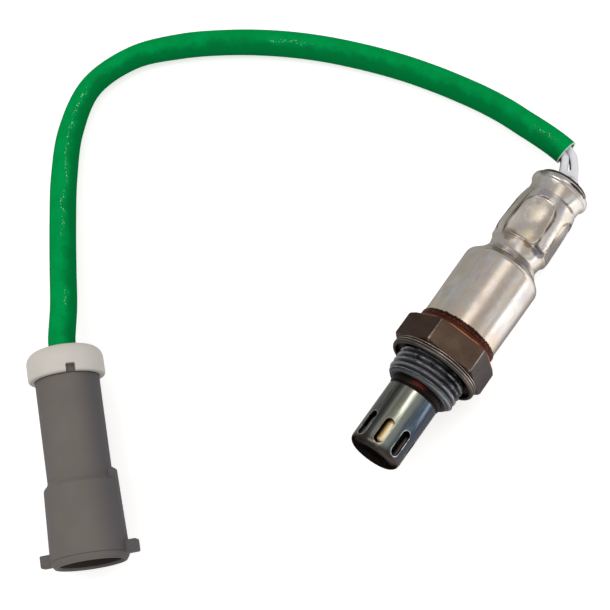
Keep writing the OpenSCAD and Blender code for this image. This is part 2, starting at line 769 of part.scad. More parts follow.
// Outer form of the housing, without its ribs and ears
module housing_form() {
    rotate_extrude() polygon(concat(
        [[0, collar_wall + fit], [barrel_r - 0.3, collar_wall + fit],
         [barrel_r, collar_wall + 0.4], [barrel_r, step_at - 0.6],
         [barrel_r + 0.4, step_at - 0.3], [front_r - 0.2, step_at + 0.1],
         [front_r, step_at + 0.6], [flare_r, flare_at], [flare_r - 0.1, plug_len - 1.2]],
        arc(flare_r - 0.9, plug_len - 0.8, 0.8, 0, 90, 4), [[0, plug_len]]
    ));
}

// Moulded housing: barrel, keying rib, ears and mouth in one piece
module plug_housing() {
    ear_low = plug_len - ear_back - ear_size;
    rib_from = step_at - 3.4;
    color([0.42, 0.41, 0.39]) on_plug_axis() difference() {
        union() {
            housing_form();
            rotate([0, 0, ear_roll]) {
                translate([-ear_size / 2, -ear_span / 2, ear_low])
                    cube([ear_size, ear_span, ear_size]);
                rotate([90, 0, 90]) translate([0, 0, -1.6]) linear_extrude(3.2) polygon([
                    [0, rib_from], [-barrel_r, rib_from], [-front_r - 0.1, rib_from + 1.3],
                    [-flare_r - 0.15, ear_low], [0, ear_low]
                ]);
            }
        }
        translate([0, 0, collar_wall - eps]) cylinder(r = carrier_r, h = plug_len);
        translate([0, 0, step_at + 1.6]) cylinder(r = cavity_r, h = plug_len);
        translate([0, 0, plug_len - 0.6])
            cylinder(r1 = cavity_r, r2 = cavity_r + 0.7, h = 0.6 + eps / 5);
    }
}

// Rubber plug round the wires behind the pins
module wire_seal() {
    r = carrier_r - fit;
    color([0.25, 0.3, 0.45]) on_plug_axis() difference() {
        rotate_extrude() polygon([
            [0, seal_low], [r - 0.3, seal_low],
            for (k = [0:2]) each [[r, seal_low + 1 + 2 * k], [r, seal_low + 1.6 + 2 * k],
                [r - 0.3, seal_low + 2 + 2 * k]],
            [r - 0.3, seal_low + seal_h], [0, seal_low + seal_h]
        ]);
        at_wires(pin_step) translate([0, 0, seal_low - eps])
            cylinder(r = wire_r + fit, h = seal_h + 2 * eps, $fn = 48);
    }
}

// Block that holds the four pins, with a raised face in the mouth
module pin_carrier() {
    color([0.2, 0.2, 0.2]) on_plug_axis() difference() {
        union() {
            translate([0, 0, carrier_low])
                cylinder(r = carrier_r - fit, h = carrier_top - carrier_low - 0.6);
            translate([0, 0, carrier_top - 0.6 - eps])
                cylinder(r1 = carrier_r - 0.6, r2 = carrier_r - 1.2, h = 0.6 + eps);
        }
        at_wires(pin_step) translate([0, 0, carrier_low - eps])
            cylinder(r = wire_r + fit + barrel_wall + fit, h = carrier_top, $fn = 48);
    }
}

// Pin with the barrel crimped on its wire, a round shank and a flat blade
module pin(place) {
    r = wire_r + fit + barrel_wall;
    shank = wire_end + 0.3;
    color([0.8, 0.78, 0.74]) on_plug_axis()
        translate([place[1] * pin_step, -place[0] * pin_step, 0]) {
            tube(r, wire_r + fit, carrier_low + 0.3, shank - carrier_low - 0.3);
            translate([0, 0, shank]) cylinder(r = r, h = carrier_top - 1 - shank);
            translate([-pin_t / 2, -pin_w / 2, carrier_top - 1.2])
                cube([pin_t, pin_w, pin_tip - 1 - carrier_top + 1.2]);
            translate([0, 0, pin_tip - 1]) linear_extrude(1, scale = 0.5)
                square([pin_t, pin_w], center = true);
        }
}

module pin_signal_a() { pin(AT_WHITE_A); }

module pin_signal_b() { pin(AT_GREY); }

module pin_heater_a() { pin(AT_WHITE_B); }

module pin_heater_b() { pin(AT_BLACK); }

metal_shell();
sealing_gasket();
outer_shield();
inner_shield();
sensing_element();
heater_rod();
seat_washer();
talc_seal();
ceramic_bush();
clamp_ring();
rear_cover();
inner_contact();
outer_contact();
heater_contact_a();
heater_contact_b();
terminal_separator();
separator_holder();
rear_grommet();
wire_white_a();
wire_white_b();
wire_grey();
wire_black();
lead_sleeve();
plug_collar();
plug_housing();
wire_seal();
pin_carrier();
pin_signal_a();
pin_signal_b();
pin_heater_a();
pin_heater_b();
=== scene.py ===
"""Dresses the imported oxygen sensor: shell, shield, crimped cover, sleeved lead and plug.

Sizes are in millimetres in the classes below and become metres where a mesh is made. Sensor
pieces are modelled upright on their own axis, tip down, with height 0 at the underside of the
hexagon. Plug pieces are modelled upright with height 0 at the collar's rear face. Each is then
laid on its axis.
"""

import json
import logging
import math
from dataclasses import dataclass, field
from enum import Enum
from typing import Callable, Sequence

import bpy
from mathutils import Matrix, Vector


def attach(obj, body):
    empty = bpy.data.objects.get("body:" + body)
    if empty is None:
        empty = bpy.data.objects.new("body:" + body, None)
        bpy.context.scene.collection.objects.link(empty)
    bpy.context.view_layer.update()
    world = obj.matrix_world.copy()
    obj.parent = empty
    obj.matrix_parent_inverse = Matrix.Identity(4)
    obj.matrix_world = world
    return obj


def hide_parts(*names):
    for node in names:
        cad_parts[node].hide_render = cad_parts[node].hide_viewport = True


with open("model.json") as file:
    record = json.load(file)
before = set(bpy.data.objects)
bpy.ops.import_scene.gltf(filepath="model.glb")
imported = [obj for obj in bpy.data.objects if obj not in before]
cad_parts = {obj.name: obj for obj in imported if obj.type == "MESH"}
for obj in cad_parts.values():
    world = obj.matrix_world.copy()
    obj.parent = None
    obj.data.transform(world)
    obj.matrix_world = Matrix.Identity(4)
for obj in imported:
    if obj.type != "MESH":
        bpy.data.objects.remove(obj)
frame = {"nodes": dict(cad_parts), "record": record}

log = logging.getLogger("oxygen_sensor")

MM = 0.001
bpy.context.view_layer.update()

Point = tuple[float, float]
Outline = list[Point]
Triple = tuple[float, float, float]
Range = tuple[float, ...]
Colour = tuple[float, float, float, float]
Stops = tuple[tuple[float, Colour], ...]

WHITE: Colour = (1, 1, 1, 1)


# Places


@dataclass(frozen=True)
class Place:
    """A piece's own axis in the frame: local Z runs along it and local X points up from it.

    Args:
        name: What lies on it.
        origin: Where height 0 lies, in millimetres.
        along: Direction in which the height grows.
    """

    name: str
    origin: Vector
    along: Vector

    def turn(self) -> Matrix:
        """Works out how the piece's own axes are turned in the frame.

        Returns:
            The rotation.
        """
        side = self.along.cross(Vector((0, 0, 1))).normalized()
        up = side.cross(self.along)
        return Matrix((up, side, self.along)).transposed()

    def matrix(self) -> Matrix:
        """Returns the whole placement, in metres."""
        return Matrix.Translation(self.origin * MM) @ self.turn().to_4x4()

    def at(self, height: float) -> Vector:
        """Returns the point of the axis at that height, in millimetres."""
        return self.origin + self.along * height

    def lay(self, piece: bpy.types.Object) -> bpy.types.Object:
        """Lays an upright piece on this axis and leaves its object at the origin.

        Args:
            piece: The piece.

        Returns:
            The same piece.
        """
        piece.matrix_world = self.matrix()
        apply_place(piece)
        return piece


THREAD_MOUNT_HEIGHT = -5.25
PLUG_ORIGIN = (-62.9, 75.5, 9.3)
PLUG_HEADING = math.radians(-135.7)


def sensor_place() -> Place:
    """Reads the sensor's axis off the record's thread mount.

    Returns:
        The axis.
    """
    mount = next(m for m in frame["record"]["mounts"] if m["name"] == "thread")
    along = -Vector(mount["axis"]).normalized()
    return Place("sensor", Vector(mount["pos_m"]) / MM - along * THREAD_MOUNT_HEIGHT, along)


def plug_place() -> Place:
    """Returns the plug's axis."""
    along = Vector((math.cos(PLUG_HEADING), math.sin(PLUG_HEADING), 0))
    return Place("plug", Vector(PLUG_ORIGIN), along)


SENSOR = sensor_place()
PLUG = plug_place()


# Modelling helpers

LONGEST_ROUNDING = 0.45
WELD_GAP = 0.002 * MM


def activate(piece: bpy.types.Object) -> None:
    """Makes a piece the only selected one, and the active one.

    Args:
        piece: The piece.
    """
    bpy.ops.object.select_all(action="DESELECT")
    piece.select_set(True)
    bpy.context.view_layer.objects.active = piece


def apply_place(piece: bpy.types.Object) -> None:
    """Moves a piece's place into its mesh."""
    activate(piece)
    bpy.ops.object.transform_apply(location=True, rotation=True, scale=True)


def arc(centre: Point, radius: float, start: float, end: float, steps: int = 6) -> Outline:
    """Returns the points of an arc.

    Args:
        centre: Its middle.
        radius: Its radius.
        start: Angle at which it starts, in degrees.
        end: Angle at which it ends, in degrees.
        steps: Number of segments.

    Returns:
        The points, both ends included.
    """
    angles = [math.radians(start + (end - start) * i / steps) for i in range(steps + 1)]
    return [(centre[0] + radius * math.cos(a), centre[1] + radius * math.sin(a)) for a in angles]


def softened(outline: Outline, radius: float, steps: int = 3) -> Outline:
    """Rounds every corner of an open outline.

    Args:
        outline: Points of the outline, in order.
        radius: How far from a corner its rounding starts, at most.
        steps: Number of segments in a rounding.

    Returns:
        The outline with its corners rounded.
    """
    points = [Vector(p) for p in outline]
    soft = [points[0]]
    for before, corner, after in zip(points, points[1:], points[2:]):
        sides = (before - corner).length, (after - corner).length
        reach = min(radius, *(side * LONGEST_ROUNDING for side in sides))
        start = corner + (before - corner).normalized() * reach
        end = corner + (after - corner).normalized() * reach
        for i in range(steps + 1):
            u = i / steps
            soft.append(start * (1 - u) ** 2 + corner * 2 * u * (1 - u) + end * u * u)
    return [(p[0], p[1]) for p in soft + [points[-1]]]


def curved(points: Sequence[Sequence[float]], steps: int) -> list[Vector]:
    """Returns a smooth line through points.

    Args:
        points: The points it passes through.
        steps: Number of steps between two of them.

    Returns:
        The points of the line, the last one included.
    """
    p = [Vector(q) for q in points]
    line = []
    for i in range(len(p) - 1):
        a, b, c, d = p[max(i - 1, 0)], p[i], p[i + 1], p[min(i + 2, len(p) - 1)]
        for k in range(steps):
            u = k / steps
            line.append(0.5 * (2 * b + (c - a) * u + (2 * a - 5 * b + 4 * c - d) * u * u
                               + (3 * b - 3 * c + d - a) * u ** 3))
    return line + [p[-1]]


def spun(name: str, outline: Outline, steps: int = 160, closed: bool = True) -> bpy.types.Object:
    """Extrudes an outline point by point and spins it round the upright axis.

    Args:
        name: Name of the piece.
        outline: (radius, height) points, in millimetres.
        steps: Number of segments round the axis.
        closed: Whether the outline's last point joins its first.

    Returns:
        The piece, with its faces pointing outwards.
    """
    bpy.ops.object.select_all(action="DESELECT")
    bpy.ops.mesh.primitive_plane_add(size=MM, location=(outline[0][0] * MM, 0, outline[0][1] * MM))
    piece = bpy.context.active_object
    piece.name = piece.data.name = name
    apply_place(piece)
    bpy.ops.object.mode_set(mode="EDIT")
    bpy.ops.mesh.select_mode(type="VERT")
    bpy.ops.mesh.select_all(action="SELECT")
    bpy.ops.mesh.merge(type="CENTER")
    whole = outline + [outline[0]] if closed else outline
    for (r0, h0), (r1, h1) in zip(whole, whole[1:]):
        move = ((r1 - r0) * MM, 0, (h1 - h0) * MM)
        bpy.ops.mesh.extrude_region_move(TRANSFORM_OT_translate={"value": move})
    bpy.ops.mesh.select_all(action="SELECT")
    bpy.ops.mesh.spin(steps=steps, angle=2 * math.pi, center=(0, 0, 0), axis=(0, 0, 1))
    bpy.ops.mesh.select_all(action="SELECT")
    bpy.ops.mesh.remove_doubles(threshold=WELD_GAP)
    bpy.ops.mesh.normals_make_consistent(inside=False)
    bpy.ops.object.mode_set(mode="OBJECT")
    return piece


def box(name: str, size: Vector, centre: Vector, bevel: float = 0) -> bpy.types.Object:
    """Adds a box with rounded edges.

    Args:
        name: Name of the piece.
        size: Its lengths along X, Y and Z, in millimetres.
        centre: Its middle, in millimetres.
        bevel: Width of its rounded edges, in millimetres.

    Returns:
        The box.
    """
    bpy.ops.object.select_all(action="DESELECT")
    bpy.ops.mesh.primitive_cube_add(size=1, location=centre * MM)
    piece = bpy.context.active_object
    piece.name = piece.data.name = name
    piece.scale = size * MM
    apply_place(piece)
    if bevel:
        bevelled(piece, bevel)
    return piece


def applied(piece: bpy.types.Object, mod: bpy.types.Modifier) -> None:
    """Applies a piece's modifier to its mesh."""
    activate(piece)
    bpy.ops.object.modifier_apply(modifier=mod.name)


def bevelled(piece: bpy.types.Object, width: float, segments: int = 3,
             angle: float = 30) -> None:
    """Rounds the sharp edges of a piece.

    Args:
        piece: The piece.
        width: Width of the rounding, in millimetres.
        segments: Number of segments across it.
        angle: Edges that turn by more than this many degrees are rounded.
    """
    mod = piece.modifiers.new("rounding", "BEVEL")
    mod.width = width * MM
    mod.segments = segments
    mod.limit_method = "ANGLE"
    mod.angle_limit = math.radians(angle)
    mod.use_clamp_overlap = True
    applied(piece, mod)


def edges_bevelled(piece: bpy.types.Object, chosen: Callable[[Vector], bool], width: float,
                   segments: int) -> None:
    """Bevels some edges of a piece in edit mode.

    Args:
        piece: The piece.
        chosen: Tells from an edge's run, in millimetres, whether it is bevelled.
        width: Width of the bevel, in millimetres.
        segments: Number of segments across it.
    """
    activate(piece)
    bpy.ops.object.mode_set(mode="EDIT")
    bpy.ops.mesh.select_mode(type="EDGE")
    bpy.ops.mesh.select_all(action="DESELECT")
    bpy.ops.object.mode_set(mode="OBJECT")
    for edge in piece.data.edges:
        a, b = (piece.data.vertices[v].co for v in edge.vertices)
        edge.select = chosen((b - a) / MM)
    bpy.ops.object.mode_set(mode="EDIT")
    bpy.ops.mesh.bevel(offset=width * MM, segments=segments)
    bpy.ops.object.mode_set(mode="OBJECT")


class Join(Enum):
    """How one piece is worked with another."""

    ADD = "UNION"
    CUT = "DIFFERENCE"
    KEEP = "INTERSECT"


def worked(piece: bpy.types.Object, tool: bpy.types.Object, how: Join) -> None:
    """Works a piece with a tool, and removes the tool.

    Args:
        piece: The piece.
        tool: The other shape.
        how: Whether the tool is added, cut away or all that is kept.
    """
    mod = piece.modifiers.new("work", "BOOLEAN")
    mod.operation = how.value
    mod.solver = "EXACT"
    mod.object = tool
    applied(piece, mod)
    bpy.data.objects.remove(tool, do_unlink=True)


def smoothed(piece: bpy.types.Object, angle: float) -> None:
    """Shades a piece smooth, apart from edges that turn by more than this many degrees."""
    activate(piece)
    bpy.ops.object.shade_smooth_by_angle(angle=math.radians(angle))


def reshaped(piece: bpy.types.Object, move: Callable[[Vector], Vector]) -> None:
    """Moves the points of a mesh.

    Args:
        piece: The piece.
        move: Returns a point's new place, both in millimetres.
    """
    for vertex in piece.data.vertices:
        vertex.co = move(vertex.co / MM) * MM
    piece.data.update()


def eased(share: float) -> float:
    """Returns a share held between 0 and 1, easing in and out."""
    share = min(max(share, 0), 1)
    return share * share * (3 - 2 * share)


def turned(piece: bpy.types.Object, degrees: float) -> None:
    """Turns an upright piece about its own axis."""
    piece.rotation_euler = (0, 0, math.radians(degrees))
    apply_place(piece)


def settled(piece: bpy.types.Object, node: str) -> None:
    """Lets a finished piece stand for a CAD node and ride on the object's one body.

    Args:
        piece: The piece.
        node: The CAD node.
    """
    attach(piece, "root")
    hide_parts(node)
    log.info("%s: %d faces", piece.name, len(getattr(piece.data, "polygons", [])))


def dressed(piece: bpy.types.Object, material: bpy.types.Material, angle: float, place: Place,
            node: str) -> None:
    """Finishes an upright piece and lays it in the place of its CAD node.

    Args:
        piece: The piece.
        material: Its material.
        angle: Edges that turn by more than this many degrees stay sharp.
        place: The axis that it lies on.
        node: The CAD node that it stands for.
    """
    piece.data.materials.clear()
    piece.data.materials.append(material)
    smoothed(piece, angle)
    settled(place.lay(piece), node)


# Shader helpers


def rgb(red: int, green: int, blue: int) -> Colour:
    """Returns a colour written in 0 to 255 as the linear one that a shader reads.

    Args:
        red: Its red part.
        green: Its green part.
        blue: Its blue part.

    Returns:
        The colour, with nothing see-through.
    """
    def linear(v: float) -> float:
        """Returns one part."""
        v /= 255
        return v / 12.92 if v <= 0.04045 else ((v + 0.055) / 1.055) ** 2.4
    return (linear(red), linear(green), linear(blue), 1.0)


@dataclass(frozen=True)
class Patches:
    """Irregular patches, cut out of a noise.

    Args:
        scale: Number of grains in a millimetre.
        low: Noise at which a patch starts.
        high: Noise at which it is full.
        weak: Strength between the patches.
        strong: Strength inside them.
        detail: Number of finer layers.
        rough: Strength of the finer layers.
        stretch: Scale along each axis.
    """

    scale: float
    low: float
    high: float
    weak: float = 0
    strong: float = 1
    detail: float = 4
    rough: float = 0.5
    stretch: Triple | None = None


@dataclass(frozen=True)
class Sway:
    """Irregular wandering of an edge or a line.

    Args:
        scale: Number of grains in a millimetre.
        detail: Number of finer layers.
        rough: Strength of the finer layers.
        reach: Width over which it wanders.
    """

    scale: float
    detail: float
    rough: float
    reach: float


@dataclass(frozen=True)
class Marks:
    """Triple of the marks that handling leaves.

    Args:
        grain: Number of grains in a millimetre.
        smudge: Number of smudges in a millimetre.
        speck: Number of specks in a millimetre.
    """

    grain: float = 6.0
    smudge: float = 0.4
    speck: float = 1.5


class Value:
    """A number or colour of a node tree, which is reckoned with like a plain number."""

    def __init__(self, nodes: "Nodes", socket: bpy.types.NodeSocket) -> None:
        """Keeps the socket that carries it and the tree's builder."""
        self.nodes = nodes
        self.socket = socket

    def __add__(self, other: object) -> "Value":
        """Returns the sum."""
        return self.nodes.math("ADD", self, other)

    def __sub__(self, other: object) -> "Value":
        """Returns the difference."""
        return self.nodes.math("SUBTRACT", self, other)

    def __rsub__(self, other: object) -> "Value":
        """Returns what is left of a plain number."""
        return self.nodes.math("SUBTRACT", other, self)

    def __mul__(self, other: object) -> "Value":
        """Returns the product."""
        return self.nodes.math("MULTIPLY", self, other)

    def __truediv__(self, other: object) -> "Value":
        """Returns the quotient."""
        return self.nodes.math("DIVIDE", self, other)

    def __abs__(self) -> "Value":
        """Returns the number without its sign."""
        return self.nodes.math("ABSOLUTE", self)

    def at_least(self, other: object) -> "Value":
        """Returns the larger of two numbers."""
        return self.nodes.math("MAXIMUM", self, other)

    def sine(self) -> "Value":
        """Returns the sine."""
        return self.nodes.math("SINE", self)

    def wrapped(self, half: float) -> "Value":
        """Returns the number brought into the range from -half to half."""
        return self.nodes.math("WRAP", self, half, -half)


class Nodes:
    """Adds and links the nodes of one tree."""

    def __init__(self, tree: bpy.types.NodeTree) -> None:
        """Starts with a tree that may hold nodes already."""
        self.tree = tree

    def add(self, kind: str, inputs: dict | None = None, **settings: object) -> bpy.types.Node:
        """Adds a node.

        Args:
            kind: Its type.
            inputs: Plain numbers or values for its inputs, by name or number.
            settings: Its own settings.

        Returns:
            The node.
        """
        node = self.tree.nodes.new(kind)
        for key, value in settings.items():
            setattr(node, key, value)
        for key, value in (inputs or {}).items():
            self.feed(node.inputs[key], value)
        return node

    def out(self, kind: str, output: str | int, inputs: dict | None = None,
            **settings: object) -> Value:
        """Adds a node and returns one of its outputs.

        Args:
            kind: Its type.
            output: Name or number of the output.
            inputs: Plain numbers or values for its inputs, by name or number.
            settings: Its own settings.

        Returns:
            The output's value.
        """
        return Value(self, self.add(kind, inputs, **settings).outputs[output])

    def named(self, node: bpy.types.Node) -> dict[str, Value]:
        """Returns all outputs of a node by their names."""
        return {output.name: Value(self, output) for output in node.outputs}

    def feed(self, socket: bpy.types.NodeSocket, value: object) -> None:
        """Links a socket to a value, or sets its plain number or colour.

        Args:
            socket: The input.
            value: What it gets.
        """
        if isinstance(value, Value):
            self.tree.links.new(value.socket, socket)
        else:
            socket.default_value = value

    def math(self, operation: str, *values: object) -> Value:
        """Returns the result of a Math node."""
        return self.out("ShaderNodeMath", 0, dict(enumerate(values)), operation=operation)

    def hypot(self, across: Value, along: Value) -> Value:
        """Returns how far a place lies from the middle, by its two parts."""
        return self.math("SQRT", self.math("POWER", across, 2.0) + self.math("POWER", along, 2.0))

    def split(self, vector: Value) -> list[Value]:
        """Returns the three parts of a vector."""
        return [*self.named(self.add("ShaderNodeSeparateXYZ", {0: vector})).values()]

    def mix(self, share: object, a: object, b: object, blend: str = "MIX") -> Value:
        """Returns a mix of two colours.

        Args:
            share: How much of the second colour shows.
            a: The first colour.
            b: The second colour.
            blend: The node's way of blending.

        Returns:
            The mixed colour.
        """
        first, second, result = 6, 7, 2  # the node's sockets for colours
        return self.out("ShaderNodeMix", result, {0: share, first: a, second: b},
                        data_type="RGBA", blend_type=blend)

    def ramp(self, value: Value, stops: Stops) -> Value:
        """Returns a colour ramp.

        Args:
            value: Where it is read, from 0 to 1.
            stops: Places and colours of its stops.

        Returns:
            The colour.
        """
        node = self.add("ShaderNodeValToRGB", {"Fac": value})
        elements = node.color_ramp.elements
        while len(elements) < len(stops):
            elements.new(0.5)
        for element, (position, colour) in zip(elements, stops):
            element.position = position
            element.color = colour
        return Value(self, node.outputs["Color"])

    def span(self, value: Value, low: float, high: float, to_low: float = 0, to_high: float = 1,
             soft: bool = True) -> Value:
        """Returns a value mapped from one range to another, held at its ends.

        Args:
            value: The value.
            low: Start of its range.
            high: End of its range.
            to_low: What it gives at the start.
            to_high: What it gives at the end.
            soft: Whether it eases in and out.

        Returns:
            The mapped value.
        """
        return self.out("ShaderNodeMapRange", "Result",
                        {"Value": value, "From Min": low, "From Max": high,
                         "To Min": to_low, "To Max": to_high},
                        interpolation_type="SMOOTHSTEP" if soft else "LINEAR")

    def band(self, value: Value, centre: float, half: float, soft: float) -> Value:
        """Returns 1 within a band round a number, and 0 outside it.

        Args:
            value: The value that is tested.
            centre: Middle of the band.
            half: Half its width.
            soft: Width over which it fades.

        Returns:
            The mask.
        """
        return self.span(abs(value - centre), half, half + soft, 1, 0)

    def noise(self, vector: Value, scale: object, detail: float = 3, rough: float = 0.5,
              stretch: Triple | None = None) -> Value:
        """Returns a noise from 0 to 1.

        Args:
            vector: Where it is read.
            scale: Number of grains in a unit of the vector.
            detail: Number of finer layers.
            rough: Strength of the finer layers.
            stretch: Scale along each axis.

        Returns:
            The noise.
        """
        if stretch is not None:
            vector = self.out("ShaderNodeVectorMath", 0, {0: vector, 1: stretch},
                              operation="MULTIPLY")
        return self.out("ShaderNodeTexNoise", "Fac", {"Vector": vector, "Scale": scale,
                                                      "Detail": detail, "Roughness": rough})


def group(name: str, inputs: dict[str, float | None], outputs: dict[str, str],
          build: Callable[[Nodes, dict[str, Value]], dict[str, Value]]) -> bpy.types.NodeTree:
    """Builds a shader node group once.

    Args:
        name: Name of the group.
        inputs: First value of each number that goes in, and None for a vector.
        outputs: Socket type of each output.
        build: Takes the group's inputs and returns what its outputs carry.

    Returns:
        The group.
    """
    tree = bpy.data.node_groups.get(name)
    if tree is None:
        tree = bpy.data.node_groups.new(name, "ShaderNodeTree")
        for key, value in inputs.items():
            kind = "NodeSocketVector" if value is None else "NodeSocketFloat"
            socket = tree.interface.new_socket(key, in_out="INPUT", socket_type=kind)
            if value is not None:
                socket.default_value = value
        for key, kind in outputs.items():
            tree.interface.new_socket(key, in_out="OUTPUT", socket_type="NodeSocket" + kind)
        nodes = Nodes(tree)
        given = nodes.named(nodes.add("NodeGroupInput"))
        nodes.add("NodeGroupOutput", build(nodes, given))
    return tree


def axes_group(place: Place) -> bpy.types.NodeTree:
    """Returns a group that reads a piece's own axes.

    Args:
        place: The axis that the piece lies on.

    Returns:
        A group that puts out the point, the height along the axis and the distance from it, in
        millimetres, and the turn round it, in radians.
    """
    def build(nodes: Nodes, given: dict[str, Value]) -> dict[str, Value]:
        """Lays out the group.

        Args:
            nodes: The group's nodes.
            given: Its inputs.

        Returns:
            What it puts out.
        """
        back = place.turn().transposed()
        own = nodes.out("ShaderNodeMapping", 0, {
            "Vector": nodes.out("ShaderNodeTexCoord", "Object"),
            "Location": -(back @ place.origin),
            "Rotation": Vector(back.to_euler("XYZ")),
            "Scale": Vector((1, 1, 1)) / MM,
        })
        x, y, z = nodes.split(own)
        flat = nodes.out("ShaderNodeVectorMath", 0, {0: own, 1: (1, 1, 0)}, operation="MULTIPLY")
        radius = nodes.out("ShaderNodeVectorMath", "Value", {0: flat}, operation="LENGTH")
        return {"Point": own, "Turn": nodes.math("ARCTAN2", y, x), "Height": z, "Radius": radius}
    return group(place.name + "_axes", {}, {"Point": "Vector", "Turn": "Float", "Height": "Float",
                                            "Radius": "Float"}, build)


def surface_group() -> bpy.types.NodeTree:
    """Makes the fine marks that handling leaves: grain, smudges and specks.

    Returns:
        The group.
    """
    def build(nodes: Nodes, given: dict[str, Value]) -> dict[str, Value]:
        """Lays out the group.

        Args:
            nodes: The group's nodes.
            given: Its inputs.

        Returns:
            What it puts out.
        """
        point = given["Point"]
        grain = nodes.noise(point, given["Grain Scale"], 4, 0.6)
        smudge = nodes.noise(point, given["Smudge Scale"], 3, 0.55)
        distance = nodes.out("ShaderNodeTexVoronoi", "Distance", {
            "Vector": point, "Scale": given["Speck Scale"], "Randomness": 1.0})
        size = nodes.noise(point, 0.9, 2) * 0.22
        return {"Grain": grain, "Smudge": nodes.span(smudge, 0.35, 0.68),
                "Specks": nodes.span(distance - size, -0.03, 0.02, 1, 0)}
    return group("surface_marks",
                 {"Point": None, "Grain Scale": 4, "Smudge Scale": 0.3, "Speck Scale": 1.2},
                 {"Grain": "Float", "Smudge": "Float", "Specks": "Float"}, build)


def turning_group() -> bpy.types.NodeTree:
    """Makes the fine rings that turning and drawing leave round an axis.

    Returns:
        The group.
    """
    def build(nodes: Nodes, given: dict[str, Value]) -> dict[str, Value]:
        """Lays out the group.

        Args:
            nodes: The group's nodes.
            given: Its inputs.

        Returns:
            What it puts out.
        """
        fine = nodes.noise(given["Point"], 1.0, 5, 0.65, (0.25, 0.25, 9))
        broad = nodes.noise(given["Point"], 1.0, 3, 0.5, (0.1, 0.1, 1.6))
        return {"Rings": fine * 0.6 + broad * 0.4}
    return group("turning_marks", {"Point": None}, {"Rings": "Float"}, build)


class Surface(Nodes):
    """A material round one Principled shader, with the axes and marks that it reads."""

    def __init__(self, name: str, marks: Marks | None = None, place: Place | None = None,
                 **sockets: object) -> None:
        """Starts the material.

        Args:
            name: Its name.
            marks: Triple of the marks that handling leaves.
            place: The axis that the piece lies on, where the finish follows it.
            sockets: Plain values for the shader's sockets, with _ for a space.
        """
        self.material = bpy.data.materials.new(name)
        self.material.use_nodes = True
        super().__init__(self.material.node_tree)
        self.shader = self.tree.nodes["Principled BSDF"]
        for key, value in sockets.items():
            self.shader.inputs[key.replace("_", " ")].default_value = value
        if place is None:
            self.point = self.out("ShaderNodeVectorMath", 0, {
                0: self.out("ShaderNodeTexCoord", "Object"), "Scale": 1 / MM}, operation="SCALE")
        else:
            own = self.placed(axes_group(place))
            self.point, self.turn = own["Point"], own["Turn"]
            self.height, self.radius = own["Height"], own["Radius"]
        if marks is not None:
            left = self.placed(surface_group(), {
                "Point": self.point, "Grain Scale": marks.grain, "Smudge Scale": marks.smudge,
                "Speck Scale": marks.speck})
            self.grain, self.smudge, self.specks = left["Grain"], left["Smudge"], left["Specks"]

    def placed(self, tree: bpy.types.NodeTree, inputs: dict | None = None) -> dict[str, Value]:
        """Places a group and returns its outputs."""
        return self.named(self.add("ShaderNodeGroup", inputs, node_tree=tree))

    def rings(self) -> Value:
        """Returns the rings of turning and drawing."""
        return self.placed(turning_group(), {"Point": self.point})["Rings"]

    def patches(self, kind: Patches) -> Value:
        """Returns a mask of irregular patches."""
        noise = self.noise(self.point, kind.scale, kind.detail, kind.rough, kind.stretch)
        return self.span(noise, kind.low, kind.high, kind.weak, kind.strong)

    def sway(self, kind: Sway) -> Value:
        """Returns how far an edge has wandered, to either side."""
        return (self.noise(self.point, kind.scale, kind.detail, kind.rough) - 0.5) * kind.reach

    def from_nearest(self, first: float, count: int) -> Value:
        """Returns the turn from the nearest of some places evenly spread round the axis.

        Args:
            first: Turn of the first place, in degrees.
            count: Number of places.

        Returns:
            The turn to either side of it, in radians.
        """
        return (self.turn - math.radians(first)).wrapped(math.pi / count)

    def finish(self, colour: object, roughness: object,
               *heights: tuple[Value, float]) -> bpy.types.Material:
        """Feeds the shader and returns the material.

        Args:
            colour: Base colour.
            roughness: Roughness.
            heights: Pairs of a height from 0 to 1 and its depth in millimetres, stacked as bump.

        Returns:
            The material.
        """
        self.feed(self.shader.inputs["Base Color"], colour)
        self.feed(self.shader.inputs["Roughness"], roughness)
        below = {}
        for height, depth in heights:
            below = {"Normal": self.out("ShaderNodeBump", 0, {
                "Height": height, "Distance": depth * MM, "Strength": 1.0, **below})}
        for key, normal in below.items():
            self.feed(self.shader.inputs[key], normal)
        return self.material


# Finishes
#
# Turns are in radians from the top of the piece and heights in millimetres along its axis. A
# range is where a mask starts and where it is full, with its two strengths where they aren't 0
# and 1. A band is its middle, half its width and the width over which it fades.


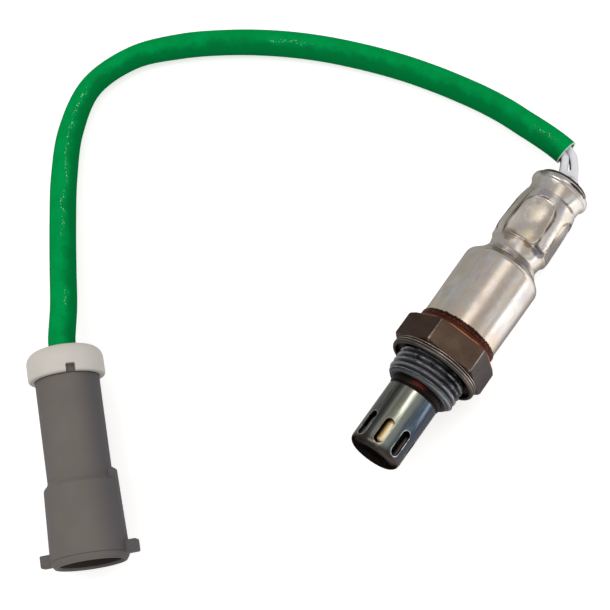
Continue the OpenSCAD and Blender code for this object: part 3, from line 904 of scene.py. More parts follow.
@dataclass(frozen=True)
class ShellSteel:
    """Heat-browned steel of the threaded shell, with a painted highlight along its hexagon's
    corners.
    """

    marks: Marks = Marks(4.0, 0.22, 1.4)
    edge_tint: Colour = (0.72, 0.72, 0.74, 1)
    roughness: Range = (0.3, 0.7, 0.4, 0.52)
    dark: Colour = rgb(88, 71, 60)
    warm: Colour = rgb(106, 89, 76)
    warm_share: float = 0.6

    # Thread tones: the crests carry a painted highlight in patches and the roots carry painted
    # shade.
    crest: Colour = rgb(188, 191, 194)
    flank: Colour = rgb(144, 146, 149)
    root: Colour = rgb(84, 85, 89)
    thread_top: Range = (-0.2, -0.5)
    crest_radius: Range = (8.72, 8.98)
    root_radius: Range = (8.15, 8.75, 0.9, 0)
    crest_light_patches: Patches = Patches(0.8, 0.35, 0.65, 0.35, 1)
    line: Colour = rgb(46, 48, 53)
    line_step: float = 0.75
    line_starts: float = 2
    line_noise: float = 0.7
    line_sway: float = 3
    line_range: Range = (0, 0.6, 0, 0.8)

    # Soot in patches below the gasket; the side patches add painted shade on one side there.
    soot_and_shade: Colour = rgb(26, 26, 30)
    soot_patches: Patches = Patches(0.45, 0.54, 0.64, 0, 0.8, rough=0.65)
    soot_band: Range = (-2.6, 1.6, 1.2)
    side_shade_patches: Patches = Patches(0.5, 0.42, 0.54, 0, 0.8, rough=0.65)
    side_shade_turn: Range = (0.1, 0.6)
    side_shade_band: Range = (-3.2, 1.0, 2.0)

    # Nose ring: painted red reflection on its top, painted shade at its sides and at its foot.
    nose_painted_light: Colour = rgb(84, 32, 28)
    nose_side_shade: Colour = rgb(30, 23, 20)
    nose_foot_shade: Colour = rgb(34, 27, 23)
    nose_top: Range = (-8.25, -8.35)
    nose_end: Range = (-9.2, -9.4)
    nose_turn: Range = (0.05, 0.38)

    # Painted highlight along the hexagon's corners, in patches; the same colour marks the
    # scratches.
    worn: Colour = rgb(170, 158, 146)
    corner_turn: float = 40
    corner_range: Range = (0.006, 0.02, 1, 0)
    corner_light_patches: Patches = Patches(1.6, 0.3, 0.6, 0.3, 0.9)
    scratches: Patches = Patches(1.0, 0.7, 0.76, 0, 0.35, 3, 0.6, (2.2, 2.2, 0.5))
    flat_band: Range = (3.3, 3.2, 0.1)
    # Painted shade over the hexagon's faces by turn: left faces darker, right faces cooler.
    face_shade_turns: Range = (math.radians(-80), math.radians(100))
    faces: Stops = (
        (0.0, (0.48, 0.42, 0.42, 1)), (0.32, (0.56, 0.5, 0.48, 1)), (0.34, (1, 1, 1, 1)),
        (0.66, (1, 1, 1, 1)), (0.675, (0.6, 0.74, 0.94, 1)), (1.0, (0.5, 0.62, 0.82, 1)))

    copper: Colour = rgb(206, 140, 92)
    copper_band: Range = (6.68, 0.16, 0.14)
    copper_share: float = 0.85
    weld: Colour = rgb(104, 56, 42)
    weld_shade: Colour = rgb(62, 34, 27)
    weld_grain: Range = (0.35, 0.65)
    weld_foot: Range = (6.75, 6.95)
    weld_edge: Sway = Sway(1.1, 4, 0.65, 1.6)
    burnt: Colour = rgb(38, 24, 19)
    burnt_range: Range = (8.5, 9.0, 0, 0.85)
    scorched: Colour = rgb(94, 50, 32)
    scorch: Patches = Patches(1.4, 0.46, 0.58, rough=0.7)
    scorch_range: Range = (7.7, 8.4)

    def threaded(self, s: Surface) -> Value:
        """Returns the colour below the hexagon: painted highlight on crests, painted shade in
        roots, soot with painted shade on one side, and nose ring with painted red reflection and
        shade.

        Args:
            s: The material.

        Returns:
            The colour.
        """
        # Painted highlight on the crests, in patches.
        worn = s.span(s.radius, *self.crest_radius) * s.patches(self.crest_light_patches)
        colour = s.mix(worn, self.flank, self.crest)
        # Painted shade in the thread roots.
        colour = s.mix(s.span(s.radius, *self.root_radius), colour, self.root)
        phase = s.height * (2 * math.pi / self.line_step) - s.turn * self.line_starts
        phase = phase + s.noise(s.point, self.line_noise) * self.line_sway
        colour = s.mix(s.span(phase.sine(), *self.line_range), colour, self.line)
        # Soot below the gasket, with painted shade in patches on one side.
        soot_and_shade = s.patches(self.soot_patches) * s.band(s.height, *self.soot_band)
        side = s.span(s.turn, *self.side_shade_turn) * s.band(s.height, *self.side_shade_band)
        soot_and_shade = soot_and_shade.at_least(side * s.patches(self.side_shade_patches))
        colour = s.mix(soot_and_shade, colour, self.soot_and_shade)
        # Nose ring: painted red reflection on top, painted shade at the sides and foot.
        nose_painted_light = s.mix(s.span(abs(s.turn), *self.nose_turn), self.nose_painted_light, self.nose_side_shade)
        nose_painted_light = s.mix(s.span(s.height, *self.nose_end), nose_painted_light, self.nose_foot_shade)
        return s.mix(s.span(s.height, *self.nose_top), colour, nose_painted_light)

    def welded(self, s: Surface, body: Value) -> Value:
        """Returns the colour with the weld above the hexagon and its burnt, ragged upper edge.

        Args:
            s: The material.
            body: The colour without them.

        Returns:
            The colour.
        """
        ragged = s.height + s.sway(self.weld_edge)
        weld = s.mix(s.span(s.grain, *self.weld_grain), self.weld, self.weld_shade)
        colour = s.mix(s.span(s.height, *self.weld_foot), body, weld)
        scale = s.mix(s.patches(self.scorch), self.burnt, self.scorched)
        colour = s.mix(s.span(ragged, *self.scorch_range), colour, scale)
        colour = s.mix(s.span(ragged, *self.burnt_range), colour, self.burnt)
        copper = s.band(s.height, *self.copper_band) * self.copper_share
        return s.mix(copper, colour, self.copper)

    def cornered(self, s: Surface, colour: Value) -> Value:
        """Returns the colour with painted highlights on the hexagon's corners, scratches, and
        painted shade on its faces.

        Args:
            s: The material.
            colour: The colour without them.

        Returns:
            The colour.
        """
        flats = s.band(s.height, *self.flat_band)
        edge = s.span(abs(s.from_nearest(self.corner_turn, 6)), *self.corner_range) * flats
        # Painted highlight along the corners in patches, joined by the scratches.
        worn = edge * s.patches(self.corner_light_patches)
        worn = worn.at_least(s.patches(self.scratches) * flats)
        # Painted shade by turn: left faces darker, right faces cooler.
        around = s.span(s.turn, *self.face_shade_turns, soft=False)
        return s.mix(flats, s.mix(worn, colour, self.worn), s.ramp(around, self.faces), "MULTIPLY")

    def material(self) -> bpy.types.Material:
        """Lays out the finish.

        Returns:
            The material.
        """
        s = Surface("shell_steel", self.marks, SENSOR, Metallic=0.9, Specular_Tint=self.edge_tint)
        body = self.welded(s, s.mix(s.smudge * self.warm_share, self.dark, self.warm))
        colour = s.mix(s.span(s.height, *self.thread_top), body, self.threaded(s))
        return s.finish(self.cornered(s, colour), s.span(s.grain, *self.roughness),
                        (s.grain, 0.01), (s.rings(), 0.008), (s.specks, -0.015))


@dataclass(frozen=True)
class GasketSteel:
    """Folded sheet of the gasket, with painted highlights on its rims and painted shade in its
    folds.
    """

    marks: Marks = Marks()
    edge_tint: Colour = (0.55, 0.53, 0.52, 1)
    roughness: float = 0.32
    grime: Colour = rgb(70, 64, 62)
    grime_share: float = 0.45
    height: float = 2.2
    fold_light_and_shade: Stops = (
        (0.0, rgb(96, 92, 88)), (0.14, rgb(60, 56, 54)), (0.26, rgb(128, 122, 117)),
        (0.36, rgb(54, 49, 46)), (0.46, rgb(48, 42, 40)), (0.52, rgb(160, 152, 146)),
        (0.67, rgb(184, 174, 166)), (0.72, rgb(46, 38, 35)), (0.81, rgb(46, 38, 35)),
        (0.86, rgb(200, 178, 168)), (1.0, rgb(140, 116, 106)))

    def material(self) -> bpy.types.Material:
        """Lays out the finish.

        Returns:
            The material.
        """
        s = Surface("gasket_steel", self.marks, SENSOR, Metallic=1, Specular_Tint=self.edge_tint)
        # Painted highlights and painted shade in bands down the folded sheet.
        colour = s.ramp(s.span(s.height, -self.height, 0, soft=False), self.fold_light_and_shade)
        colour = s.mix(s.smudge * self.grime_share, colour, self.grime)
        return s.finish(colour, self.roughness, (s.grain, 0.008))


@dataclass(frozen=True)
class StainOrPaintedLight:
    """A spot of colour at one place of a turned surface. The spots include stains, heat tints,
    painted highlights, painted shade and a painted reflection.

    Args:
        turn: Its middle round the axis, in radians from the top.
        spread: Half its width round the axis, in radians.
        height: Its middle along the axis, in millimetres.
        reach: Half its length along the axis, in millimetres.
        colour: Its colour.
        strength: How much of the metal it hides.
    """

    turn: float
    spread: float
    height: float
    reach: float
    colour: Colour
    strength: float


@dataclass(frozen=True)
class CoverSteel:
    """Satin steel sheet of the drawn and crimped cover."""

    marks: Marks = Marks(6.0, 0.16, 0.7)
    edge_tint: Colour = (0.56, 0.57, 0.59, 1)
    roughness: Range = (0, 1, 0.2, 0.28)
    ring_roughness: float = 0.06
    side_roughness: Range = (-0.6, -0.76, 0, 0.22)
    bright: Colour = rgb(208, 205, 200)
    shade: Colour = rgb(190, 184, 178)
    straw: Colour = rgb(206, 190, 170)
    straw_bloom: Patches = Patches(1.0, 0.46, 0.66, 0, 0.7, 4, 0.55, (0.4, 0.4, 0.1))
    straw_foot: Range = (14, 10, 0, 0.6)
    violet: Colour = rgb(188, 180, 192)
    violet_haze: Patches = Patches(1.0, 0.52, 0.68, 0, 0.6, 4, 0.6, (0.7, 0.6, 0.16))
    burnt: Colour = rgb(70, 40, 27)
    burnt_edge: Sway = Sway(1.3, 5, 0.7, 1.3)
    burnt_range: Range = (9.45, 9.2)

    spot_sway: Sway = Sway(0.55, 5, 0.65, 2.2)
    spot_edge: Range = (1.15, 0.55)
    # Spots of colour by turn and height; the marked ones are painted light.
    stains_and_painted_light: tuple[StainOrPaintedLight, ...] = (
        # Painted warm highlight along the top of the barrel.
        StainOrPaintedLight(0.12, 0.3, 19, 9, rgb(200, 182, 164), 0.4),
        StainOrPaintedLight(0.7, 0.42, 50.35, 0.6, rgb(104, 80, 66), 0.8),
        # Violet heat tint.
        StainOrPaintedLight(-0.27, 0.3, 49.3, 1.4, rgb(168, 156, 172), 0.6),
        StainOrPaintedLight(0.6, 0.42, 55.1, 0.5, rgb(46, 38, 35), 0.95),
        # Painted highlights on the panel's two domes.
        StainOrPaintedLight(-0.1, 0.4, 44.4, 3.4, rgb(244, 234, 216), 0.8),
        StainOrPaintedLight(0.05, 0.3, 37.6, 2.2, rgb(228, 214, 188), 0.65),
        # Painted shade on the slope at the panel's lower end.
        StainOrPaintedLight(0.68, 0.36, 36.0, 1.2, rgb(92, 91, 98), 0.85),
        StainOrPaintedLight(0.25, 0.24, 35.7, 0.7, rgb(134, 110, 82), 0.8),
        StainOrPaintedLight(-0.55, 0.3, 35.6, 1.6, rgb(140, 122, 108), 0.7),
        StainOrPaintedLight(-0.4, 0.6, 31.2, 0.9, rgb(150, 146, 136), 0.5),
        # Painted dark reflection of the lead along the panel's left edge.
        StainOrPaintedLight(-0.79, 0.05, 43, 9, rgb(110, 100, 96), 0.6),
        StainOrPaintedLight(-0.78, 0.2, 55, 1.4, rgb(104, 96, 90), 0.65),
        StainOrPaintedLight(0.3, 0.2, 43, 6, rgb(176, 164, 152), 0.6),
        # Painted shade in the three grooves below the ring.
        *(StainOrPaintedLight(0.45, 0.5, height, 0.13, rgb(96, 95, 93), 0.5) for height in (31.1, 31.7, 32.3)),
    )

    # The grime colour is used here only for painted shade in the panel creases.
    grime: Colour = rgb(92, 80, 72)
    crease_shade_patches: Patches = Patches(0.45, 0.38, 0.58, 0.25, 0.9, 3)
    crease: Point = (0.1, 0.35)
    crease_band: Range = (43, 6.2, 1.2)
    panel_count: int = 4
    panel_turn: float = -9
    panel_half: float = 4.5
    panel_arch: float = 44

    def outlined(self, s: Surface, colour: Value) -> Value:
        """Returns the colour with painted shade in patches along the crease round each pressed
        panel.

        Args:
            s: The material.
            colour: The colour without it.

        Returns:
            The colour.
        """
        side = s.radius * s.from_nearest(self.panel_turn, self.panel_count).sine()
        reach = s.hypot(side, (s.height - self.panel_arch).at_least(0.0))
        # Painted shade in patches along the crease round each panel.
        crease = s.band(reach, self.panel_half, *self.crease) * s.patches(self.crease_shade_patches)
        return s.mix(crease * s.band(s.height, *self.crease_band), colour, self.grime)

    def stained_and_lit(self, s: Surface, colour: Value) -> Value:
        """Returns the colour with its spots: stains, heat tints, painted highlights, painted shade
        and a painted reflection.

        Args:
            s: The material.
            colour: The colour without them.

        Returns:
            The colour.
        """
        wobble = s.sway(self.spot_sway)
        for spot in self.stains_and_painted_light:
            away = s.hypot((s.turn - spot.turn) / spot.spread,
                           (s.height - spot.height) / spot.reach)
            mask = s.span(away + wobble, *self.spot_edge, 0, spot.strength)
            colour = s.mix(mask, colour, spot.colour)
        return colour

    def material(self) -> bpy.types.Material:
        """Lays out the finish.

        Returns:
            The material.
        """
        s = Surface("cover_steel", self.marks, SENSOR, Metallic=1, Specular_Tint=self.edge_tint)
        rings = s.rings()
        colour = s.mix(s.smudge, self.bright, self.shade)
        colour = s.mix(s.patches(self.straw_bloom), colour, self.straw)
        colour = s.mix(s.patches(self.violet_haze), colour, self.violet)
        colour = s.mix(s.span(s.height, *self.straw_foot), colour, self.straw)
        colour = self.outlined(s, self.stained_and_lit(s, colour))
        ragged = s.height + s.sway(self.burnt_edge)
        colour = s.mix(s.span(ragged, *self.burnt_range), colour, self.burnt)
        rough = s.span(s.smudge, *self.roughness) + rings * self.ring_roughness
        rough = rough + s.span(s.turn, *self.side_roughness)
        return s.finish(colour, rough, (rings, 0.008), (s.grain, 0.004), (s.specks, -0.008))


@dataclass(frozen=True)
class ShieldSteel:
    """Polished steel of the slotted shield, with heat tints, painted reflection bands and painted
    highlights, and sooted at its end.
    """

    marks: Marks = Marks(5.0, 0.3, 1.0)
    edge_tint: Colour = (0.8, 0.82, 0.85, 1)
    sooted_tint: Colour = (0.2, 0.19, 0.185, 1)
    roughness: Range = (0, 1, 0.13, 0.2)
    end_roughness: float = 0.14
    wave_scale: Triple = (1, 1, 0.6)
    wave_sway: float = 0.05
    turns: Range = (-1.6, 1.6, 0, 1)
    # Heat tints by turn, with painted reflection bands and a narrow painted highlight near the top.
    tints_and_painted_light: Stops = (
        (0.1, rgb(84, 82, 78)), (0.24, rgb(106, 107, 102)), (0.31, rgb(62, 64, 60)),
        (0.35, rgb(86, 89, 84)), (0.385, rgb(146, 149, 142)), (0.42, rgb(116, 121, 110)),
        (0.47, rgb(140, 146, 134)), (0.503, rgb(236, 240, 226)), (0.535, rgb(150, 156, 147)),
        (0.6, rgb(134, 144, 144)), (0.64, rgb(72, 82, 90)), (0.7, rgb(98, 112, 126)),
        (0.745, rgb(86, 97, 110)), (0.79, rgb(46, 52, 62)), (0.92, rgb(58, 56, 60)))
    burnt: Colour = rgb(64, 56, 50)
    burnt_range: Range = (-23.8, -26, 0, 0.95)
    burnt_sway: float = 1.5
    charred: Colour = rgb(66, 63, 61)
    charred_range: Range = (-26.6, -27.3)
    sooted_range: Range = (-26, -27)

    # Painted highlight round each slot, broken into patches.
    rim_highlight: Colour = rgb(196, 198, 190)
    rim_patches: Patches = Patches(0.8, 0.38, 0.6, 0.12, 0.7, 3)
    rim_band: Range = (1.34, 0.07, 0.1)
    slot_turn: float = -5
    slot_count: int = 8
    slot_middle: float = -22.5
    slot_straight: float = 2.2
    radius: float = 6.6

    def rimmed(self, s: Surface, colour: Value) -> Value:
        """Returns the colour with a painted highlight round each slot, broken into patches.

        Args:
            s: The material.
            colour: The colour without it.

        Returns:
            The colour.
        """
        side = s.from_nearest(self.slot_turn, self.slot_count) * self.radius
        above = (abs(s.height - self.slot_middle) - self.slot_straight).at_least(0.0)
        # Painted highlight round the slot.
        rim_highlight = s.band(s.hypot(side, above), *self.rim_band) * s.patches(self.rim_patches)
        return s.mix(rim_highlight, colour, self.rim_highlight)

    def material(self) -> bpy.types.Material:
        """Lays out the finish.

        Returns:
            The material.
        """
        s = Surface("shield_steel", self.marks, SENSOR, Metallic=1)
        wave = s.noise(s.point, 0.25, 3, 0.55, self.wave_scale)
        across = s.span(s.turn, *self.turns, soft=False) + (wave - 0.5) * self.wave_sway
        end = s.span(s.height + wave * self.burnt_sway, *self.burnt_range)
        # Heat tints with painted reflection bands and a painted highlight, by turn round the axis.
        colour = s.mix(end, s.ramp(across, self.tints_and_painted_light), self.burnt)
        colour = s.mix(s.span(s.height, *self.charred_range), colour, self.charred)
        rough = s.span(s.smudge, *self.roughness) + end * self.end_roughness
        tint = s.mix(s.span(s.height, *self.sooted_range), self.edge_tint, self.sooted_tint)
        s.feed(s.shader.inputs["Specular Tint"], tint)
        return s.finish(self.rimmed(s, colour), rough, (s.grain, 0.004), (s.specks, -0.01))


@dataclass(frozen=True)
class InnerSteel:
    """Straw-coloured sheet of the inner shield, with a painted highlight on its upper side and
    painted shade away from it.
    """

    marks: Marks = Marks(5.0, 0.3, 1.2)
    roughness: Range = (0.3, 0.7, 0.28, 0.4)
    turns: Range = (-0.5, 0.5)
    tints_and_painted_light: Stops = (
        (0.1, rgb(46, 40, 36)), (0.24, rgb(84, 62, 36)), (0.36, rgb(178, 146, 92)),
        (0.47, rgb(226, 210, 172)), (0.66, rgb(228, 222, 196)), (0.8, rgb(178, 146, 92)),
        (0.95, rgb(46, 40, 36)))

    def material(self) -> bpy.types.Material:
        """Lays out the finish.

        Returns:
            The material.
        """
        s = Surface("inner_steel", self.marks, SENSOR, Metallic=1)
        # Straw colour with a painted highlight on top and painted shade towards the sides.
        colour = s.ramp(s.span(s.turn, *self.turns, soft=False), self.tints_and_painted_light)
        return s.finish(colour, s.span(s.grain, *self.roughness), (s.grain, 0.006))


@dataclass(frozen=True)
class HousingPlastic:
    """Grey moulded plastic of the plug's housing, with painted shade at its sides, in lines at the
    collar and mouth, and inside its mouth.
    """

    marks: Marks = Marks(3.5, 0.12, 0.8)
    roughness: Range = (0.3, 0.7, 0.56, 0.7)
    colour: Colour = rgb(107, 102, 97)
    rubbed: Colour = rgb(114, 109, 103)
    rubbed_share: float = 0.5
    # Painted shade towards both sides of the housing.
    side_shade: Colour = rgb(88, 85, 88)
    side_shade_left: Range = (-0.1, -1.1)
    side_shade_right: Range = (0.5, 1.4, 0, 0.5)
    # Painted shadow lines: in the gap at the collar's edge and in a groove near the mouth.
    shadow_line: Colour = rgb(58, 50, 46)
    shadow_line_share: float = 0.75
    shadow_line_bands: tuple[Range, Range] = ((7.25, 0.12, 0.16), (50.3, 0.02, 0.14))
    shadow_line_radius: Range = (9.5, 9.35)
    # Painted shade inside the mouth.
    inside: Colour = rgb(62, 54, 50)
    inside_shade_radius: Range = (7.5, 7.42)

    def material(self) -> bpy.types.Material:
        """Lays out the finish.

        Returns:
            The material.
        """
        s = Surface("housing_plastic", self.marks, PLUG, Specular_IOR_Level=0.35)
        colour = s.mix(s.smudge * self.rubbed_share, self.colour, self.rubbed)
        # Painted shade towards the left and right sides.
        colour = s.mix(s.span(s.turn, *self.side_shade_left), colour, self.side_shade)
        colour = s.mix(s.span(s.turn, *self.side_shade_right), colour, self.side_shade)
        # Painted shadow lines at the collar's edge and near the mouth, kept off the ears.
        collar, mouth = (s.band(s.height, *band) for band in self.shadow_line_bands)
        shadow_lines = collar.at_least(mouth) * s.span(s.radius, *self.shadow_line_radius)
        colour = s.mix(shadow_lines * self.shadow_line_share, colour, self.shadow_line)
        # Painted shade inside the mouth.
        colour = s.mix(s.span(s.radius, *self.inside_shade_radius), colour, self.inside)
        return s.finish(colour, s.span(s.grain, *self.roughness), (s.grain, 0.01))


class Kind(Enum):
    """What a plain piece is made of, with the scales of its marks."""

    METAL = Marks()
    MOULDED = Marks(3.5, 0.12, 0.8)
    FIRED = Marks(8.0, 0.3, 2.0)


@dataclass(frozen=True)
class Plain:
    """A plain metal, moulding or ceramic with a light grain and a few rubbed places.

    Args:
        name: Name of the material.
        kind: What it is made of.
        colour: Its colour.
        rubbed: Its colour where it was handled.
        roughness: Its roughness.
        grain: Depth of its grain, in millimetres.
        specks: Depth of its specks, in millimetres, and negative for pits.
    """

    name: str
    kind: Kind
    colour: Colour
    rubbed: Colour
    roughness: float
    grain: float = 0.01
    specks: float = 0

    def material(self) -> bpy.types.Material:
        """Lays out the finish.

        Returns:
            The material.
        """
        moulded = self.kind is Kind.MOULDED
        s = Surface(self.name, self.kind.value, Metallic=float(self.kind is Kind.METAL))
        colour = s.mix(s.smudge * (0.5 if moulded else 1.0), self.colour, self.rubbed)
        if moulded:
            colour = s.mix(s.specks * 0.25, colour, self.rubbed)
        rough = self.roughness
        if self.kind is not Kind.FIRED:
            rough = s.span(s.grain, 0.3, 0.7, rough - 0.06, rough + 0.08)
        pits = [(s.specks, self.specks)] if self.specks else []
        return s.finish(colour, rough, (s.grain, self.grain), *pits)


def metal(name: str, light: Colour, shade: Colour, roughness: float) -> bpy.types.Material:
    """Returns the material of a small sheet metal piece."""
    return Plain(name, Kind.METAL, light, shade, roughness, 0.008, -0.012).material()


def moulding(name: str, colour: Colour, rubbed: Colour, roughness: float,
             grain: float = 0.01) -> bpy.types.Material:
    """Returns the material of a plastic or rubber moulding."""
    return Plain(name, Kind.MOULDED, colour, rubbed, roughness, grain).material()


def ceramic(name: str, colour: Colour, roughness: float = 0.6) -> bpy.types.Material:
    """Returns the material of fired ceramic or pressed powder, darker in its smudges."""
    darker = tuple(part * 0.86 for part in colour[:3]) + (1.0,)
    return Plain(name, Kind.FIRED, colour, darker, roughness).material()


@dataclass(frozen=True)
class SleeveWeave:
    """Green varnished braid of the lead's sleeve, with painted shade along its sides and painted
    sparkle highlights along one row.
    """

    light: Colour = rgb(4, 158, 80)
    deep: Colour = rgb(0, 150, 75)
    strands: float = 24
    lay: float = 15.5
    over_start: float = 0.25
    over_range: Range = (-0.6, 0.6)
    weave_range: Range = (0.1, 0.8)
    roughness: Range = (0.35, 0.65, 0.4, 0.55)
    varnish: Range = (0.45, 0.7, 0, 0.04)

    blotch: Colour = rgb(0, 134, 62)
    blotch_range: Range = (0.35, 0.7, 0, 0.5)
    shade: Colour = rgb(0, 112, 54)
    shade_sway: float = 0.2
    shade_right: Range = (-0.02, 0.12, 0, 0.75)
    shade_left: Range = (-0.14, -0.22, 0, 0.8)
    # Painted sparkle highlights along one row of the sleeve.
    painted_sparkle: Colour = rgb(176, 232, 200)
    sparkle_row: Range = (0.02, 0.012, 0.012)
    sparkle_stretch: Patches = Patches(0.06, 0.52, 0.58, detail=2)
    sparkle_grain: Patches = Patches(2.2, 0.58, 0.64, detail=2, rough=0.8)
    sparkle_share: float = 0.8
    frayed: Colour = rgb(214, 238, 224)
    frayed_end: Range = (0.012, 0.004)

    def woven(self, s: Surface, around: Value, along: Value) -> Value:
        """Returns the height of the braid's strands.

        Args:
            s: The material.
            around: Place round the sleeve, from 0 to 1.
            along: Place along the sleeve, in its own widths round.

        Returns:
            The height, from 0 to 1.
        """
        strand, course = around * self.strands, along * self.lay
        one, other = (abs(((strand + course * sign) * math.pi).sine()) for sign in (1, -1))
        side = s.span(((strand + self.over_start) * (2 * math.pi)).sine(), *self.over_range)
        return one * side + other * (1.0 - side)

    def material(self) -> bpy.types.Material:
        """Lays out the finish.

        Returns:
            The material.
        """
        s = Surface("sleeve_green", Coat_Roughness=0.12, Specular_IOR_Level=0)
        around, along, _ = s.split(s.out("ShaderNodeUVMap", 0, uv_map="weave"))
        weave = self.woven(s, around, along)
        blotch = s.noise(s.point, 0.25, 3, 0.6)
        fibre = s.noise(s.point, 3.0, 4, 0.7)
        colour = s.mix(s.span(weave, *self.weave_range), self.deep, self.light)
        colour = s.mix(s.span(blotch, *self.blotch_range), colour, self.blotch)
        turn = around.wrapped(0.5)
        swayed = turn + (blotch - 0.5) * self.shade_sway
        colour = s.mix(s.span(swayed, *self.shade_right), colour, self.shade)
        colour = s.mix(s.span(turn, *self.shade_left), colour, self.shade)
        # Painted sparkle highlights along one row.
        painted_sparkle = s.band(swayed, *self.sparkle_row) * s.patches(self.sparkle_stretch)
        painted_sparkle = painted_sparkle * s.patches(self.sparkle_grain) * self.sparkle_share
        colour = s.mix(painted_sparkle, colour, self.painted_sparkle)
        colour = s.mix(s.span(along, *self.frayed_end), colour, self.frayed)
        s.feed(s.shader.inputs["Coat Weight"], s.span(blotch, *self.varnish))
        return s.finish(colour, s.span(fibre, *self.roughness), (weave, 0.008), (fibre, 0.004))


# Camera, floor and light


@dataclass(frozen=True)
class Lamp:
    """A soft panel light.

    Args:
        name: Name of the light.
        place: Where it hangs, in millimetres.
        size: Its width and height, in millimetres.
        power: Its power in watts.
    """

    name: str
    place: Triple
    size: Point
    power: float

    def hang(self, aim: Vector) -> None:
        """Adds the light.

        Args:
            aim: Point that it faces, in millimetres.
        """
        data = bpy.data.lights.new(self.name, "AREA")
        data.shape = "RECTANGLE"
        data.size, data.size_y = self.size[0] * MM, self.size[1] * MM
        data.energy = self.power
        lamp = bpy.data.objects.new(self.name, data)
        place = Vector(self.place)
        lamp.location = place * MM
        lamp.rotation_euler = (aim - place).to_track_quat("-Z", "Y").to_euler()
        bpy.context.scene.collection.objects.link(lamp)


@dataclass(frozen=True)
class Studio:
    """Pale floor, soft light and the camera."""

    elevation: float = 75
    azimuth: float = -54.88
    focal_pixels: float = 1800
    frame_pixels: float = 610
    position: Triple = (-112.4, -30.3, 429.9)
    floor_size: float = 12
    floor_colour: Colour = (0.8, 0.8, 0.8, 1)
    floor_glow: float = 0.6
    mirrored_near: Range = (0.028, 0.036, 0, 0.012)
    mirrored_range: Range = (-0.014, -0.036, 0.02, 0.95)
    surround_height: Range = (0.3, 0.95)
    surround_side: Colour = (0.5, 0.5, 0.51, 1)
    surround_top: Colour = (0.62, 0.58, 0.54, 1)
    aim: Triple = (-20, 35, 8)
    lamps: tuple[Lamp, ...] = (
        Lamp("overhead_strip", (370, -10, 800), (320, 900), 0.87),
        Lamp("side_panel", (250, -700, 480), (900, 300), 0.35),
        Lamp("low_panel", (250, -760, 100), (1000, 150), 0.95),
        Lamp("key_panel", (-260, 480, 740), (450, 450), 2.0),
        Lamp("tip_panel", (-700, -330, 330), (600, 300), 0.4),
    )

    def camera(self) -> None:
        """Adds the camera at the picture's viewing angle."""
        data = bpy.data.cameras.new("camera")
        data.sensor_fit = "HORIZONTAL"
        data.angle = 2 * math.atan(self.frame_pixels / 2 / self.focal_pixels)
        data.clip_start = 0.01
        data.clip_end = 50
        camera = bpy.data.objects.new("camera", data)
        camera.location = Vector(self.position) * MM
        camera.rotation_euler = (math.radians(90 - self.elevation), 0, math.radians(self.azimuth))
        bpy.context.scene.collection.objects.link(camera)
        bpy.context.scene.camera = camera

    def floor(self) -> None:
        """Adds a pale floor that is white to the camera and still takes a shadow.

        Metal mirrors it white too, but dark under the sensor, as deep shade does there.
        """
        bpy.ops.object.select_all(action="DESELECT")
        bpy.ops.mesh.primitive_plane_add(size=self.floor_size)
        floor = bpy.context.active_object
        floor.name = "floor"
        material = bpy.data.materials.new("floor_white")
        material.use_nodes = True
        nodes = Nodes(material.node_tree)
        nodes.tree.nodes.remove(nodes.tree.nodes["Principled BSDF"])
        path = nodes.named(nodes.add("ShaderNodeLightPath"))
        seen = path["Is Glossy Ray"].at_least(path["Is Transmission Ray"])
        x, y, _ = nodes.split(nodes.out("ShaderNodeTexCoord", "Object"))
        mirrored = nodes.span(y - nodes.span(x, *self.mirrored_near), *self.mirrored_range)
        glow = nodes.out("ShaderNodeEmission", 0, {
            "Color": WHITE, "Strength": path["Is Camera Ray"] * self.floor_glow + seen * mirrored})
        matt = nodes.out("ShaderNodeBsdfDiffuse", 0, {"Color": self.floor_colour})
        surface = nodes.out("ShaderNodeAddShader", 0, {0: matt, 1: glow})
        nodes.feed(nodes.tree.nodes["Material Output"].inputs["Surface"], surface)
        floor.data.materials.append(material)

    def world(self) -> None:
        """Sets an even studio surround, a little warmer overhead and white to the camera."""
        world = bpy.data.worlds.new("surround")
        world.use_nodes = True
        bpy.context.scene.world = world
        nodes = Nodes(world.node_tree)
        up = nodes.split(nodes.out("ShaderNodeTexCoord", "Generated"))[2]
        shade = nodes.mix(nodes.span(up, *self.surround_height), self.surround_side,
                          self.surround_top)
        seen = nodes.out("ShaderNodeLightPath", "Is Camera Ray")
        nodes.feed(nodes.tree.nodes["Background"].inputs["Color"], nodes.mix(seen, shade, WHITE))

    def build(self) -> None:
        """Adds camera, floor, surround and lights, and sets the plain view."""
        self.camera()
        self.floor()
        self.world()
        for lamp in self.lamps:
            lamp.hang(Vector(self.aim))
        bpy.context.scene.view_settings.view_transform = "Standard"


# Lead


